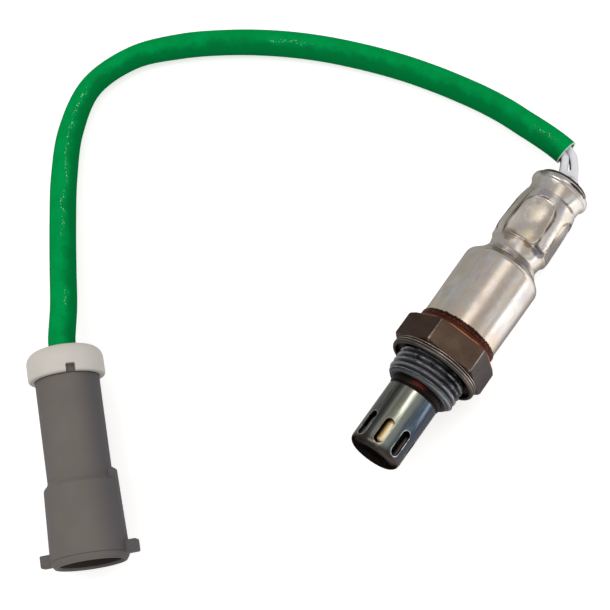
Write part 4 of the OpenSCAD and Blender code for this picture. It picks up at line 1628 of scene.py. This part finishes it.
@dataclass
class Lead:
    """Four wires in a woven sleeve, from the sensor's cover to the plug.

    A point of the bare tail is x, y, z and half the spacing of the wires. A point of the route
    is x, y, z and the share of its width that the sleeve keeps, where it leans into its bend.
    """

    tail: list = field(default_factory=lambda: [
        (43.6, 0.15, 7.2, 1.55), (45.2, 0.75, 7.1, 1.4), (46.8, 1.55, 7.1, 1.25),
        (48.1, 2.4, 7.2, 1.1), (49, 3.4, 7.3, 1)])
    route: list = field(default_factory=lambda: [
        (49.6, 4.2, 7.4, 1), (49.9, 6, 7.3, 1), (50.3, 9, 6.9, 1), (50.7, 13.1, 6.1, 1),
        (51, 17.6, 5.2, 1), (51.3, 23.1, 4.3, 1), (51, 29.1, 3.7, 1), (50.2, 35.1, 3.35, 1),
        (48.6, 43, 3.35, 1), (46.2, 52, 3.35, 1), (42.7, 62, 3.35, 1), (38.4, 72, 3.35, 1),
        (33, 81.9, 3.35, 1), (26.4, 91.6, 3.35, 0.98), (18.6, 100.8, 3.35, 0.96),
        (9.1, 108.8, 3.35, 0.86), (-3.2, 112.7, 3.35, 0.85), (-15.6, 109.8, 3.35, 0.95),
        (-26.4, 103.8, 3.35, 1), (-36, 96.9, 3.8, 1), (-45.3, 89.6, 5.1, 1), (-53.6, 82.8, 7.2, 1)])
    wire_d: float = 1.9
    sleeve_d: float = 6.6
    wall: float = 0.5
    insert: float = 2.4
    wire_step: float = 1.6
    bundle_step: float = 1.0
    pin_step: float = 2.5
    sensor_heights: Triple = (32, 44, 57.2)
    plug_heights: tuple[Point, ...] = ((-3, 0), (2.3, 0), (4.1, 0.5), (5.8, 1), (6.6, 1), (17.4, 1))
    wire_smoothness: int = 8
    sleeve_smoothness: int = 40
    ring_gap: float = 0.45
    sides: int = 72

    def headings(self, line: Sequence[Vector]) -> list[tuple[Vector, Vector, Vector]]:
        """Follows a line.

        Args:
            line: Its points.

        Returns:
            The direction, the left and the upward side at each of them.
        """
        found = []
        for i in range(len(line)):
            along = (line[min(i + 1, len(line) - 1)] - line[max(i - 1, 0)]).to_3d().normalized()
            left = Vector((0, 0, 1)).cross(along).normalized()
            found.append((along, left, along.cross(left)))
        return found

    def bundle(self) -> list[Vector]:
        """Draws the line of the wires' middle.

        The share in plug_heights is how far they have spread to the pins' spacing.

        Returns:
            Its points, with half the wires' spacing as fourth value.
        """
        def on(place: Place, height: float, step: float) -> tuple:
            """Returns one point on an axis."""
            return (*place.at(height), step)
        spread = self.pin_step - self.bundle_step
        start = [on(SENSOR, height, self.wire_step) for height in self.sensor_heights]
        middle = [(*p[:3], self.bundle_step) for p in self.route[1:]]
        end = [on(PLUG, height, self.bundle_step + spread * share)
               for height, share in self.plug_heights]
        return curved(start + self.tail + middle + end, self.wire_smoothness)

    def wire(self, name: str, across: int, up: int, pin: str,
             material: bpy.types.Material) -> None:
        """Adds one wire.

        Args:
            name: Name of its CAD node.
            across: 1 on the left of the bundle and -1 on its right.
            up: 1 at the top of the bundle and -1 below.
            pin: Name of the pin's CAD node at its far end; not used.
            material: Its finish.
        """
        line = self.bundle()
        points = []
        for point, (_, left, top) in zip(line, self.headings(line)):
            points.append((point.to_3d() + point[3] * (across * left + up * top)) * MM)
        data = bpy.data.curves.new(name + "_strand", "CURVE")
        data.dimensions = "3D"
        data.bevel_depth = self.wire_d / 2 * MM
        data.bevel_resolution = 5
        data.use_fill_caps = True
        spline = data.splines.new("POLY")
        spline.points.add(len(points) - 1)
        for target, point in zip(spline.points, points):
            target.co = (*point, 1)
        spline.use_smooth = True
        wire = bpy.data.objects.new(name + "_strand", data)
        bpy.context.scene.collection.objects.link(wire)
        data.materials.append(material)
        settled(wire, name)
        length = sum((b - a).length for a, b in zip(points, points[1:]))

    def sleeve_line(self) -> list[Vector]:
        """Draws the sleeve's line at even steps.

        Returns:
            Its points, with its share of width as fourth value.
        """
        ends = [(*PLUG.at(w), 1) for w in (-3, 0, self.insert)]
        fine = curved(self.route + ends, self.sleeve_smoothness)
        even, left = [fine[0]], self.ring_gap
        for a, b in zip(fine, fine[1:]):
            step = (b - a).to_3d().length
            while left <= step:
                even.append(a.lerp(b, left / step))
                left += self.ring_gap
            left -= step
        return even + [fine[-1]]

    def tube(self, line: Sequence[Vector]) -> bpy.types.Mesh:
        """Makes the sleeve's mesh: an outer and an inner wall, closed at both ends.

        Args:
            line: Its middle line, with its share of width as fourth value.

        Returns:
            The mesh, with a UV map that runs round and along it.
        """
        turns = [2 * math.pi * k / self.sides for k in range(self.sides)]
        points = []
        for inset in (0, self.wall):
            for point, (_, left, top) in zip(line, self.headings(line)):
                high = self.sleeve_d / 2 - inset
                wide = self.sleeve_d / 2 * point[3] - inset
                middle = point.to_3d()
                points += [(middle + high * math.cos(a) * top + wide * math.sin(a) * left) * MM
                           for a in turns]
        lap = self.ring_gap / (math.pi * self.sleeve_d)
        last, inner = len(line) - 1, len(line) * self.sides
        faces, uvs = [], []

        def add(corners: list[int], places: list[Point], flip: bool) -> None:
            """Adds one face.

            Args:
                corners: Its points.
                places: Their places in the weave.
                flip: Whether it faces the other way.
            """
            step = -1 if flip else 1
            faces.append(corners[::step])
            uvs.append([(u / self.sides, v * lap) for u, v in places[::step]])

        for wall, flip in ((0, False), (inner, True)):
            for i in range(last):
                for k in range(self.sides):
                    a = wall + i * self.sides + k
                    b = wall + i * self.sides + (k + 1) % self.sides
                    add([a, b, b + self.sides, a + self.sides],
                        [(k, i), (k + 1, i), (k + 1, i + 1), (k, i + 1)], flip)
        for ring, flip in ((0, False), (last, True)):
            for k in range(self.sides):
                a, b = ring * self.sides + k, ring * self.sides + (k + 1) % self.sides
                add([a, inner + a, inner + b, b],
                    [(k, ring), (k, ring), (k + 1, ring), (k + 1, ring)], flip)
        mesh = bpy.data.meshes.new("woven_sleeve")
        mesh.from_pydata(points, [], faces)
        layer = mesh.uv_layers.new(name="weave")
        for face, corners in zip(mesh.polygons, uvs):
            for loop, uv in zip(face.loop_indices, corners):
                layer.data[loop].uv = uv
        return mesh

    def sleeve(self, material: bpy.types.Material) -> None:
        """Adds the woven sleeve.

        Args:
            material: Its material.
        """
        line = self.sleeve_line()
        mesh = self.tube(line)
        mesh.materials.append(material)
        sleeve = bpy.data.objects.new("woven_sleeve", mesh)
        bpy.context.scene.collection.objects.link(sleeve)
        smoothed(sleeve, 60)
        settled(sleeve, "lead_sleeve")
        path = [p.to_3d() * MM for p in line]
        length = sum((b - a).length for a, b in zip(path, path[1:]))
        log.info("sleeve length: %.1f mm", length / MM)

    def build(self) -> None:
        """Adds the four wires and the sleeve."""
        white = moulding("wire_white", rgb(238, 239, 246), rgb(224, 223, 230), 0.3, 0.004)
        grey = moulding("wire_grey", rgb(136, 136, 136), rgb(118, 118, 118), 0.3, 0.004)
        black = moulding("wire_black", rgb(22, 22, 22), rgb(44, 43, 42), 0.3, 0.004)
        for name, across, up, pin, material in (
                ("wire_white_a", 1, 1, "pin_signal_a", white),
                ("wire_white_b", -1, 1, "pin_heater_a", white),
                ("wire_grey", 1, -1, "pin_signal_b", grey),
                ("wire_black", -1, -1, "pin_heater_b", black)):
            self.wire(name, across, up, pin, material)
        self.sleeve(SleeveWeave().material())


# Threaded shell


@dataclass
class Shell:
    """Shell with thread and hexagon, and the folded gasket under the hexagon.

    The thread is cut by moving the points of a plain cylinder that lie within its skin.
    """

    thread_d: float = 18
    pitch: float = 1.5
    depth: float = 0.92
    crest_share: float = 0.16
    flank_share: float = 0.62
    thread_end: float = 8.3
    bevel: float = 1.2
    bevel_slope: float = 1
    run_out_slope: float = 2.5
    relief_d: float = 16
    relief_h: float = 1.5
    hex_af: float = 22
    hex_h: float = 6.6
    hex_roll: float = 40
    hex_round: float = 0.3
    hex_round_steps: int = 4
    hex_chamfer: float = 0.25
    band_d: float = 20.3
    band_top: float = 9.1
    rings_per_pitch: int = 22
    skin: float = 0.001
    gasket_d: float = 22.7
    gasket_h: float = 2.2

    def thread_radius(self, height: float, turn: float) -> float:
        """Returns the thread's radius.

        Args:
            height: Height along the axis.
            turn: Angle round it, in radians.

        Returns:
            The radius there.
        """
        phase = (height / self.pitch - turn / (2 * math.pi)) % 1
        flank = min(max((abs(phase - 0.5) * 2 - self.crest_share) / self.flank_share, 0), 1)
        return self.thread_d / 2 - self.depth * (1 - flank)

    def barrel(self) -> bpy.types.Object:
        """Turns the body with its bore, before the thread is cut.

        Returns:
            The body.
        """
        r = self.thread_d / 2
        groove = r - self.relief_d / 2
        count = round((self.thread_end - self.relief_h) / self.pitch * self.rings_per_pitch)
        thread = [(r, -self.thread_end + (self.thread_end - self.relief_h) * i / count)
                  for i in range(count + 1)]
        band = self.band_d / 2
        outline = [
            (6.05, -13.5), (6.05, -10.25), (6.4, -10.25), (6.4, -9.85), (6.7, -9.75), (6.8, -9.6),
            (6.8, -8.32), (7.3, -self.thread_end), *thread,
            (r - groove, -self.relief_h + 0.01), (r - groove, 0),
            (band, 0), (band + 0.3, self.hex_h), *softened([
                (band, self.hex_h + 0.5), (band, 7.75), (band - 0.22, 7.85), (band, 7.95),
                (band, self.band_top), (band - 0.8, self.band_top)], 0.12),
            (9.25, self.band_top), (9.25, 12), (7.5, 12), (7.5, 14.3), (6.5, 15.3),
            (5.3, 15.3), (5.3, 14.5), (6.2, 14.5), (6.2, -2.6), (4.4, -4.4), (4.4, -10.45),
            (5, -10.45), (5, -13.5)]
        return spun("threaded_shell", outline, 192)

    def cut_thread(self, piece: bpy.types.Object) -> None:
        """Cuts the thread into the barrel, with a bevelled start and a run-out.

        Args:
            piece: The barrel.
        """
        low, high = -self.thread_end, -self.relief_h
        edge = self.thread_d / 2 - self.skin

        def move(p: Vector) -> Vector:
            """Moves a point of the threaded stretch in to the thread's form.

            Args:
                p: The point.

            Returns:
                Its new place.
            """
            radius = math.hypot(p.x, p.y)
            if not low - self.skin <= p.z <= high + self.skin or radius < edge:
                return p
            target = self.thread_radius(p.z, math.atan2(p.y, p.x))
            start = self.thread_d / 2 - self.bevel + (p.z - low) * self.bevel_slope
            end = self.relief_d / 2 + max(high - p.z, 0) * self.run_out_slope
            target = min(target, start, end)
            return Vector((p.x * target / radius, p.y * target / radius, p.z))
        reshaped(piece, move)

    def hexagon(self) -> bpy.types.Object:
        """Makes the hexagon with worn corners and chamfered ends.

        Returns:
            The hexagon.
        """
        corner = self.hex_af / 2 / math.cos(math.radians(30))
        bpy.ops.object.select_all(action="DESELECT")
        bpy.ops.mesh.primitive_cylinder_add(vertices=6, radius=corner * MM, depth=self.hex_h * MM,
                                            location=(0, 0, self.hex_h / 2 * MM))
        piece = bpy.context.active_object
        apply_place(piece)
        edges_bevelled(piece, lambda run: abs(run.z) > self.hex_h / 2, self.hex_round,
                       self.hex_round_steps)
        limit = corner - self.hex_chamfer
        lower = [(0, -0.01), (limit - 0.9, -0.01), (limit - 0.1, 0.35), (limit, 0.5)]
        upper = [(r, self.hex_h - h) for r, h in reversed(lower)]
        worked(piece, spun("chamfer", lower + upper, 144), Join.KEEP)
        turned(piece, self.hex_roll + 30)
        return piece

    def gasket(self) -> bpy.types.Object:
        """Folds the gasket from one sheet.

        Returns:
            The gasket.
        """
        r = self.gasket_d / 2
        low = -self.gasket_h
        outline = softened([
            (9.0, -0.06), (r - 0.4, -0.06), (r - 0.2, -0.16), (r - 0.2, -0.4), (r - 1, -0.48),
            (r - 1, -0.64), (r - 0.25, -0.64), (r, -0.85), (r, low + 0.45), (r - 0.2, low + 0.1),
            (r - 0.6, low), (r - 0.9, low + 0.12), (r - 0.7, low + 0.35), (r - 0.5, low + 0.55),
            (r - 0.5, -1.3), (r - 0.9, -1.2), (8.2, -1.2), (8.2, -0.06), (9.0, -0.06)], 0.1)
        return spun("crush_gasket", outline[:-1], 160)

    def build(self) -> None:
        """Adds shell and gasket."""
        piece = self.barrel()
        self.cut_thread(piece)
        worked(piece, self.hexagon(), Join.ADD)
        dressed(piece, ShellSteel().material(), 34, SENSOR, "metal_shell")
        dressed(self.gasket(), GasketSteel().material(), 40, SENSOR, "sealing_gasket")


# Shield


@dataclass
class Shield:
    """Outer cup with its ring of slots.

    A slot's end is two roundings of almost half its width, which keeps their edges apart.
    """

    diameter: float = 13.2
    top: float = -10.3
    length: float = 17.2
    wall: float = 0.5
    round_end: float = 1.8
    slot_count: int = 8
    slot_w: float = 2.4
    slot_len: float = 6.8
    slot_low: float = 1.6
    slot_roll: float = -5
    slot_steps: int = 10
    punch_len: float = 4
    almost: float = 0.999

    def slot(self, turn: float) -> bpy.types.Object:
        """Returns the punch of a slot with round ends.

        Args:
            turn: Its turn round the axis, in degrees.

        Returns:
            The punch.
        """
        middle = self.top - self.length + self.slot_low + self.slot_len / 2
        punch = box("punch", Vector((self.punch_len, self.slot_w, self.slot_len)),
                    Vector((self.diameter / 2, 0, middle)))
        edges_bevelled(punch, lambda run: abs(run.x) > 1, self.slot_w / 2 * self.almost,
                       self.slot_steps)
        turned(punch, turn)
        return punch

    def build(self) -> None:
        """Adds the cup."""
        r, c, low = self.diameter / 2, self.round_end, self.top - self.length
        inner = r - self.wall
        outline = [(0, low), *arc((r - c, low + c), c, -90, 0, 10), (r, self.top - 0.15),
                   (r - 0.15, self.top), (inner, self.top),
                   *arc((r - c, low + c), c - self.wall, 0, -90, 8), (0, low + self.wall)]
        piece = spun("slotted_shield", outline, 192)
        for k in range(self.slot_count):
            worked(piece, self.slot(self.slot_roll + 360 * k / self.slot_count), Join.CUT)
        bevelled(piece, 0.12, 2, 50)
        dressed(piece, ShieldSteel().material(), 40, SENSOR, "outer_shield")


# Cover


@dataclass
class Cover:
    """Drawn and crimped cover, made of one sheet.

    A dome of a panel is its place across and up from the panel's foot, its radius and its rise.
    """

    foot: float = 9.15
    wall: float = 0.5
    panel_count: int = 4
    panel_flat: float = 7.05
    panel_w: float = 9
    panel_len: float = 12.2
    panel_low: float = 36.3
    panel_roll: float = -9
    panel_edge: float = 0.7
    panel_sink: float = 0.12
    panel_bow: float = 0.16
    domes: tuple[Range, ...] = ((-0.8, 8.0, 4, 0.34), (0.2, 1.6, 3, 0.22))
    top: float = 56.3

    def line(self) -> Outline:
        """Draws the cover's outer outline from its foot to its rolled end.

        Returns:
            The outline.
        """
        shoulder = arc((8.05, 27.7), 2, 0, 50, 8)
        start = [(9.85, self.foot), (9.86, self.foot + 0.3), (9.9, 14), (9.97, 19), (10.02, 24)]
        cone = [(7.95, 30.65)]
        grooves = [(r + d, h + k) for r, h in ((7.6, 31), (7.2, 31.6), (6.92, 32.2))
                   for d, k in ((0.02, -0.1), (-0.12, 0.02), (-0.12, 0.12), (0, 0.24))]
        ring = [(6.74, 32.8), (6.72, 33.5), (6.84, 34.3), (7.02, 35.1), (7.1, 35.5), (7.12, 35.62)]
        crimp = [(7.2, 35.7), (7.7, 36.2), (8.1, 37.1), (8.3, 38.2), (8.33, 38.9), (8.15, 42.4),
                 (7.85, 46.2), (7.55, 48.2), (7.2, 49.9), (7.08, 50.5)]
        crease = [(6.98, 50.66), (6.84, 50.72), (6.82, 50.85)]
        waist = [(6.84, 51.8), (6.95, 52.9), (7.14, 53.7)]
        lip = [(7.2, 53.92), (7.55, 54.15), (7.72, 54.45), (7.75, 54.9), (7.6, 55.4), (7.46, 55.52),
               (7.36, 55.56), (7.26, 55.72), (6.9, 56.1), (6.3, self.top), (6, self.top - 0.1)]
        parts = (curved([shoulder[-1]] + cone, 4), softened(grooves, 0.06, 2), curved(ring, 4),
                 curved(crimp, 9), crease, curved(waist, 4), softened(lip, 0.12, 2))
        return start + shoulder + [(p[0], p[1]) for part in parts for p in part][1:]

    def pressed(self, p: Vector) -> Vector:
        """Presses the panels into the crimped stretch.

        Args:
            p: A point of the cover.

        Returns:
            Its new place.
        """
        if not self.panel_low - 1 < p.z < self.panel_low + self.panel_len + 2:
            return p
        turn = math.degrees(math.atan2(p.y, p.x)) - self.panel_roll
        step = 360 / self.panel_count
        own = math.radians((turn + step / 2) % step - step / 2)
        radius = math.hypot(p.x, p.y)
        out, side = radius * math.cos(own), radius * math.sin(own)
        arch = self.panel_low + self.panel_len - self.panel_w / 2
        reach = math.hypot(side, max(p.z - arch, 0)) if p.z > arch else abs(side)
        inside = min(self.panel_w / 2 - reach, p.z - self.panel_low)
        share = eased(inside / self.panel_edge + 0.5)
        floor = self.panel_flat - self.panel_sink + self.panel_bow * (side / self.panel_w * 2) ** 2
        for across, up, size, rise in self.domes:
            away = min(math.hypot(side - across, p.z - self.panel_low - up) / size, 1)
            floor += rise * (1 - away * away) ** 2
        if out > floor:
            out += (floor - out) * share
        base = math.radians(turn + self.panel_roll) - own
        return Vector((out * math.cos(base) - side * math.sin(base),
                       out * math.sin(base) + side * math.cos(base), p.z))

    def build(self) -> None:
        """Adds the cover."""
        piece = spun("crimped_cover", self.line(), 224, closed=False)
        reshaped(piece, self.pressed)
        mod = piece.modifiers.new("wall", "SOLIDIFY")
        mod.thickness = self.wall * MM
        mod.offset = -1
        applied(piece, mod)
        dressed(piece, CoverSteel().material(), 45, SENSOR, "rear_cover")


@dataclass
class Grommet:
    """Rubber plug in the cover's mouth, with a lip that bulges over the cover's end."""

    low: float = 37.65
    body_r: float = 6.35
    mouth_r: float = 5.9
    lip_r: float = 6.55
    lip_low: float = 56.3
    top: float = 56.85

    def build(self) -> None:
        """Adds the rubber plug."""
        piece = spun("rubber_plug", [(0, self.low), *softened([
            (self.body_r, self.low), (self.body_r, 51), (self.mouth_r, 53),
            (self.mouth_r, self.lip_low + 0.05), (self.lip_r, self.lip_low + 0.1),
            (self.lip_r, self.top - 0.1), (self.lip_r - 0.6, self.top)], 0.3), (0, self.top)], 96)
        rubber = moulding("grommet_rubber", rgb(20, 19, 19), rgb(34, 32, 31), 0.6)
        dressed(piece, rubber, 32, SENSOR, "rear_grommet")


# Plug


@dataclass
class Plug:
    """Collar and housing of the plug."""

    length: float = 51.9
    collar_d: float = 18.5
    collar_len: float = 7.2
    collar_round: float = 3
    collar_wall: float = 3.2
    lead_d: float = 6.6
    barrel_d: float = 15.4
    step_at: float = 33
    mouth_low: float = 34.6
    front_d: float = 17.7
    flare_d: float = 18.6
    mouth_d: float = 14.8
    carrier_d: float = 12.7
    ear_span: float = 23.9
    ear_size: float = 3
    ear_back: float = 1
    ear_roll: float = 13
    rib_half: float = 9
    rib_fade: float = 4
    rib_start: float = 29.6
    rib_climb: float = 1.4
    rib_rise: float = 0.12
    notch_w: float = 2.3
    notch_h: float = 1.9
    notch_roll: float = -13

    def collar(self) -> bpy.types.Object:
        """Makes the rear collar.

        Returns:
            The collar.
        """
        r, c = self.collar_d / 2, self.collar_round
        bore = self.barrel_d / 2 + 0.1
        lead = self.lead_d / 2
        outline = [(lead + 0.1, 0.3), (lead + 0.4, 0), *arc((r - c, c), c, -90, 0, 10),
                   *arc((r - 0.6, self.collar_len - 0.6), 0.6, 0, 90, 4), (bore, self.collar_len),
                   (bore, self.collar_wall), (lead + 0.1, self.collar_wall)]
        piece = spun("rear_collar", outline, 160)
        notch = box("notch", Vector((4, self.notch_w, self.notch_h * 2)),
                    Vector((r, 0, self.collar_len)), 0.3)
        turned(notch, self.notch_roll)
        worked(piece, notch, Join.CUT)
        bevelled(piece, 0.15, 2, 50)
        return piece

    def housing(self) -> bpy.types.Object:
        """Makes the housing with its rib, ears and mouth.

        Returns:
            The housing.
        """
        barrel, front, flare = self.barrel_d / 2, self.front_d / 2, self.flare_d / 2
        inner, mouth = self.carrier_d / 2, self.mouth_d / 2
        start = self.collar_wall + 0.05
        outside = softened([
            (barrel - 0.4, start), (barrel, start + 0.4),
            *((barrel, self.step_at - 3.5 + 0.35 * k) for k in range(8)),
            (barrel + 0.35, self.step_at - 0.35), (front - 0.25, self.step_at + 0.1),
            (front, self.step_at + 0.6), (flare, self.length - 4), (flare - 0.1, self.length - 1),
            (flare - 0.8, self.length)], 0.5, 4)
        inside = [(mouth + 0.5, self.length), (mouth, self.length - 0.6), (mouth, self.mouth_low),
                  (inner, self.mouth_low), (inner, start)]
        piece = spun("moulded_housing", outside + inside, 176)
        reshaped(piece, self.ribbed)
        ear_low = self.length - self.ear_back - self.ear_size
        for side in (1, -1):
            reach = self.ear_span / 2 - flare + 1
            out = side * (self.ear_span / 2 - reach / 2)
            ear = box("ear", Vector((self.ear_size, reach, self.ear_size)),
                      Vector((0, out, ear_low + self.ear_size / 2)), 0.35)
            turned(ear, self.ear_roll)
            worked(piece, ear, Join.ADD)
        return piece

    def ribbed(self, p: Vector) -> Vector:
        """Lifts the keying rib out of the front barrel.

        Args:
            p: A point of the housing.

        Returns:
            Its new place.
        """
        barrel, front, flare = self.barrel_d / 2, self.front_d / 2, self.flare_d / 2
        start, end = self.rib_start, self.length - self.ear_back
        radius = math.hypot(p.x, p.y)
        if radius < barrel - 0.1 or not start < p.z < end:
            return p
        away = abs((math.degrees(math.atan2(p.y, p.x)) + 90 - self.ear_roll + 180) % 360 - 180)
        share = eased((self.rib_half + self.rib_fade - away) / self.rib_fade)
        flared = (flare - front) * max(p.z - start - self.rib_climb, 0) / (end - start)
        top = front + flared + self.rib_rise
        target = barrel + (top - barrel) * eased((p.z - start) / self.rib_climb)
        lift = max(target - radius, 0) * share
        return Vector((p.x * (radius + lift) / radius, p.y * (radius + lift) / radius, p.z))

    def build(self) -> None:
        """Adds collar and housing."""
        pale = moulding("collar_plastic", rgb(211, 207, 200), rgb(202, 199, 192), 0.55)
        dressed(self.collar(), pale, 34, PLUG, "plug_collar")
        dressed(self.housing(), HousingPlastic().material(), 34, PLUG, "plug_housing")


# Pieces that keep their CAD solids


def dress_nodes() -> None:
    """Gives every CAD node that keeps its solid its finish."""
    white = ceramic("element_ceramic", rgb(238, 234, 222))
    contact = metal("contact_alloy", rgb(206, 200, 184), rgb(180, 172, 152), 0.25)
    tin = metal("pin_tin", rgb(208, 204, 196), rgb(178, 172, 162), 0.22)
    steel = metal("washer_steel", rgb(150, 146, 140), rgb(120, 114, 108), 0.35)
    finishes = {
        "inner_shield": InnerSteel().material(),
        "talc_seal": ceramic("talc", rgb(206, 200, 190), 0.8),
        "wire_seal": moulding("seal_rubber", rgb(72, 84, 118), rgb(90, 100, 130), 0.55),
        "pin_carrier": moulding("carrier_plastic", rgb(44, 43, 42), rgb(62, 60, 58), 0.5),
    }
    for material, names in (
            (white, ("sensing_element", "heater_rod", "ceramic_bush", "terminal_separator")),
            (steel, ("seat_washer", "clamp_ring", "separator_holder")),
            (contact, ("inner_contact", "outer_contact", "heater_contact_a", "heater_contact_b")),
            (tin, ("pin_signal_a", "pin_signal_b", "pin_heater_a", "pin_heater_b"))):
        finishes.update(dict.fromkeys(names, material))
    for name, material in finishes.items():
        node = frame["nodes"][name]
        node.data.materials.clear()
        node.data.materials.append(material)
        log.info("%s: CAD solid dressed", name)


def main() -> None:
    """Builds camera and lead first, then every piece of sensor and plug."""
    logging.basicConfig(level=logging.INFO, format="%(name)s: %(message)s")
    Studio().build()
    Lead().build()
    Shell().build()
    Shield().build()
    Cover().build()
    Grommet().build()
    Plug().build()
    dress_nodes()


if __name__ == "__main__":
    main()
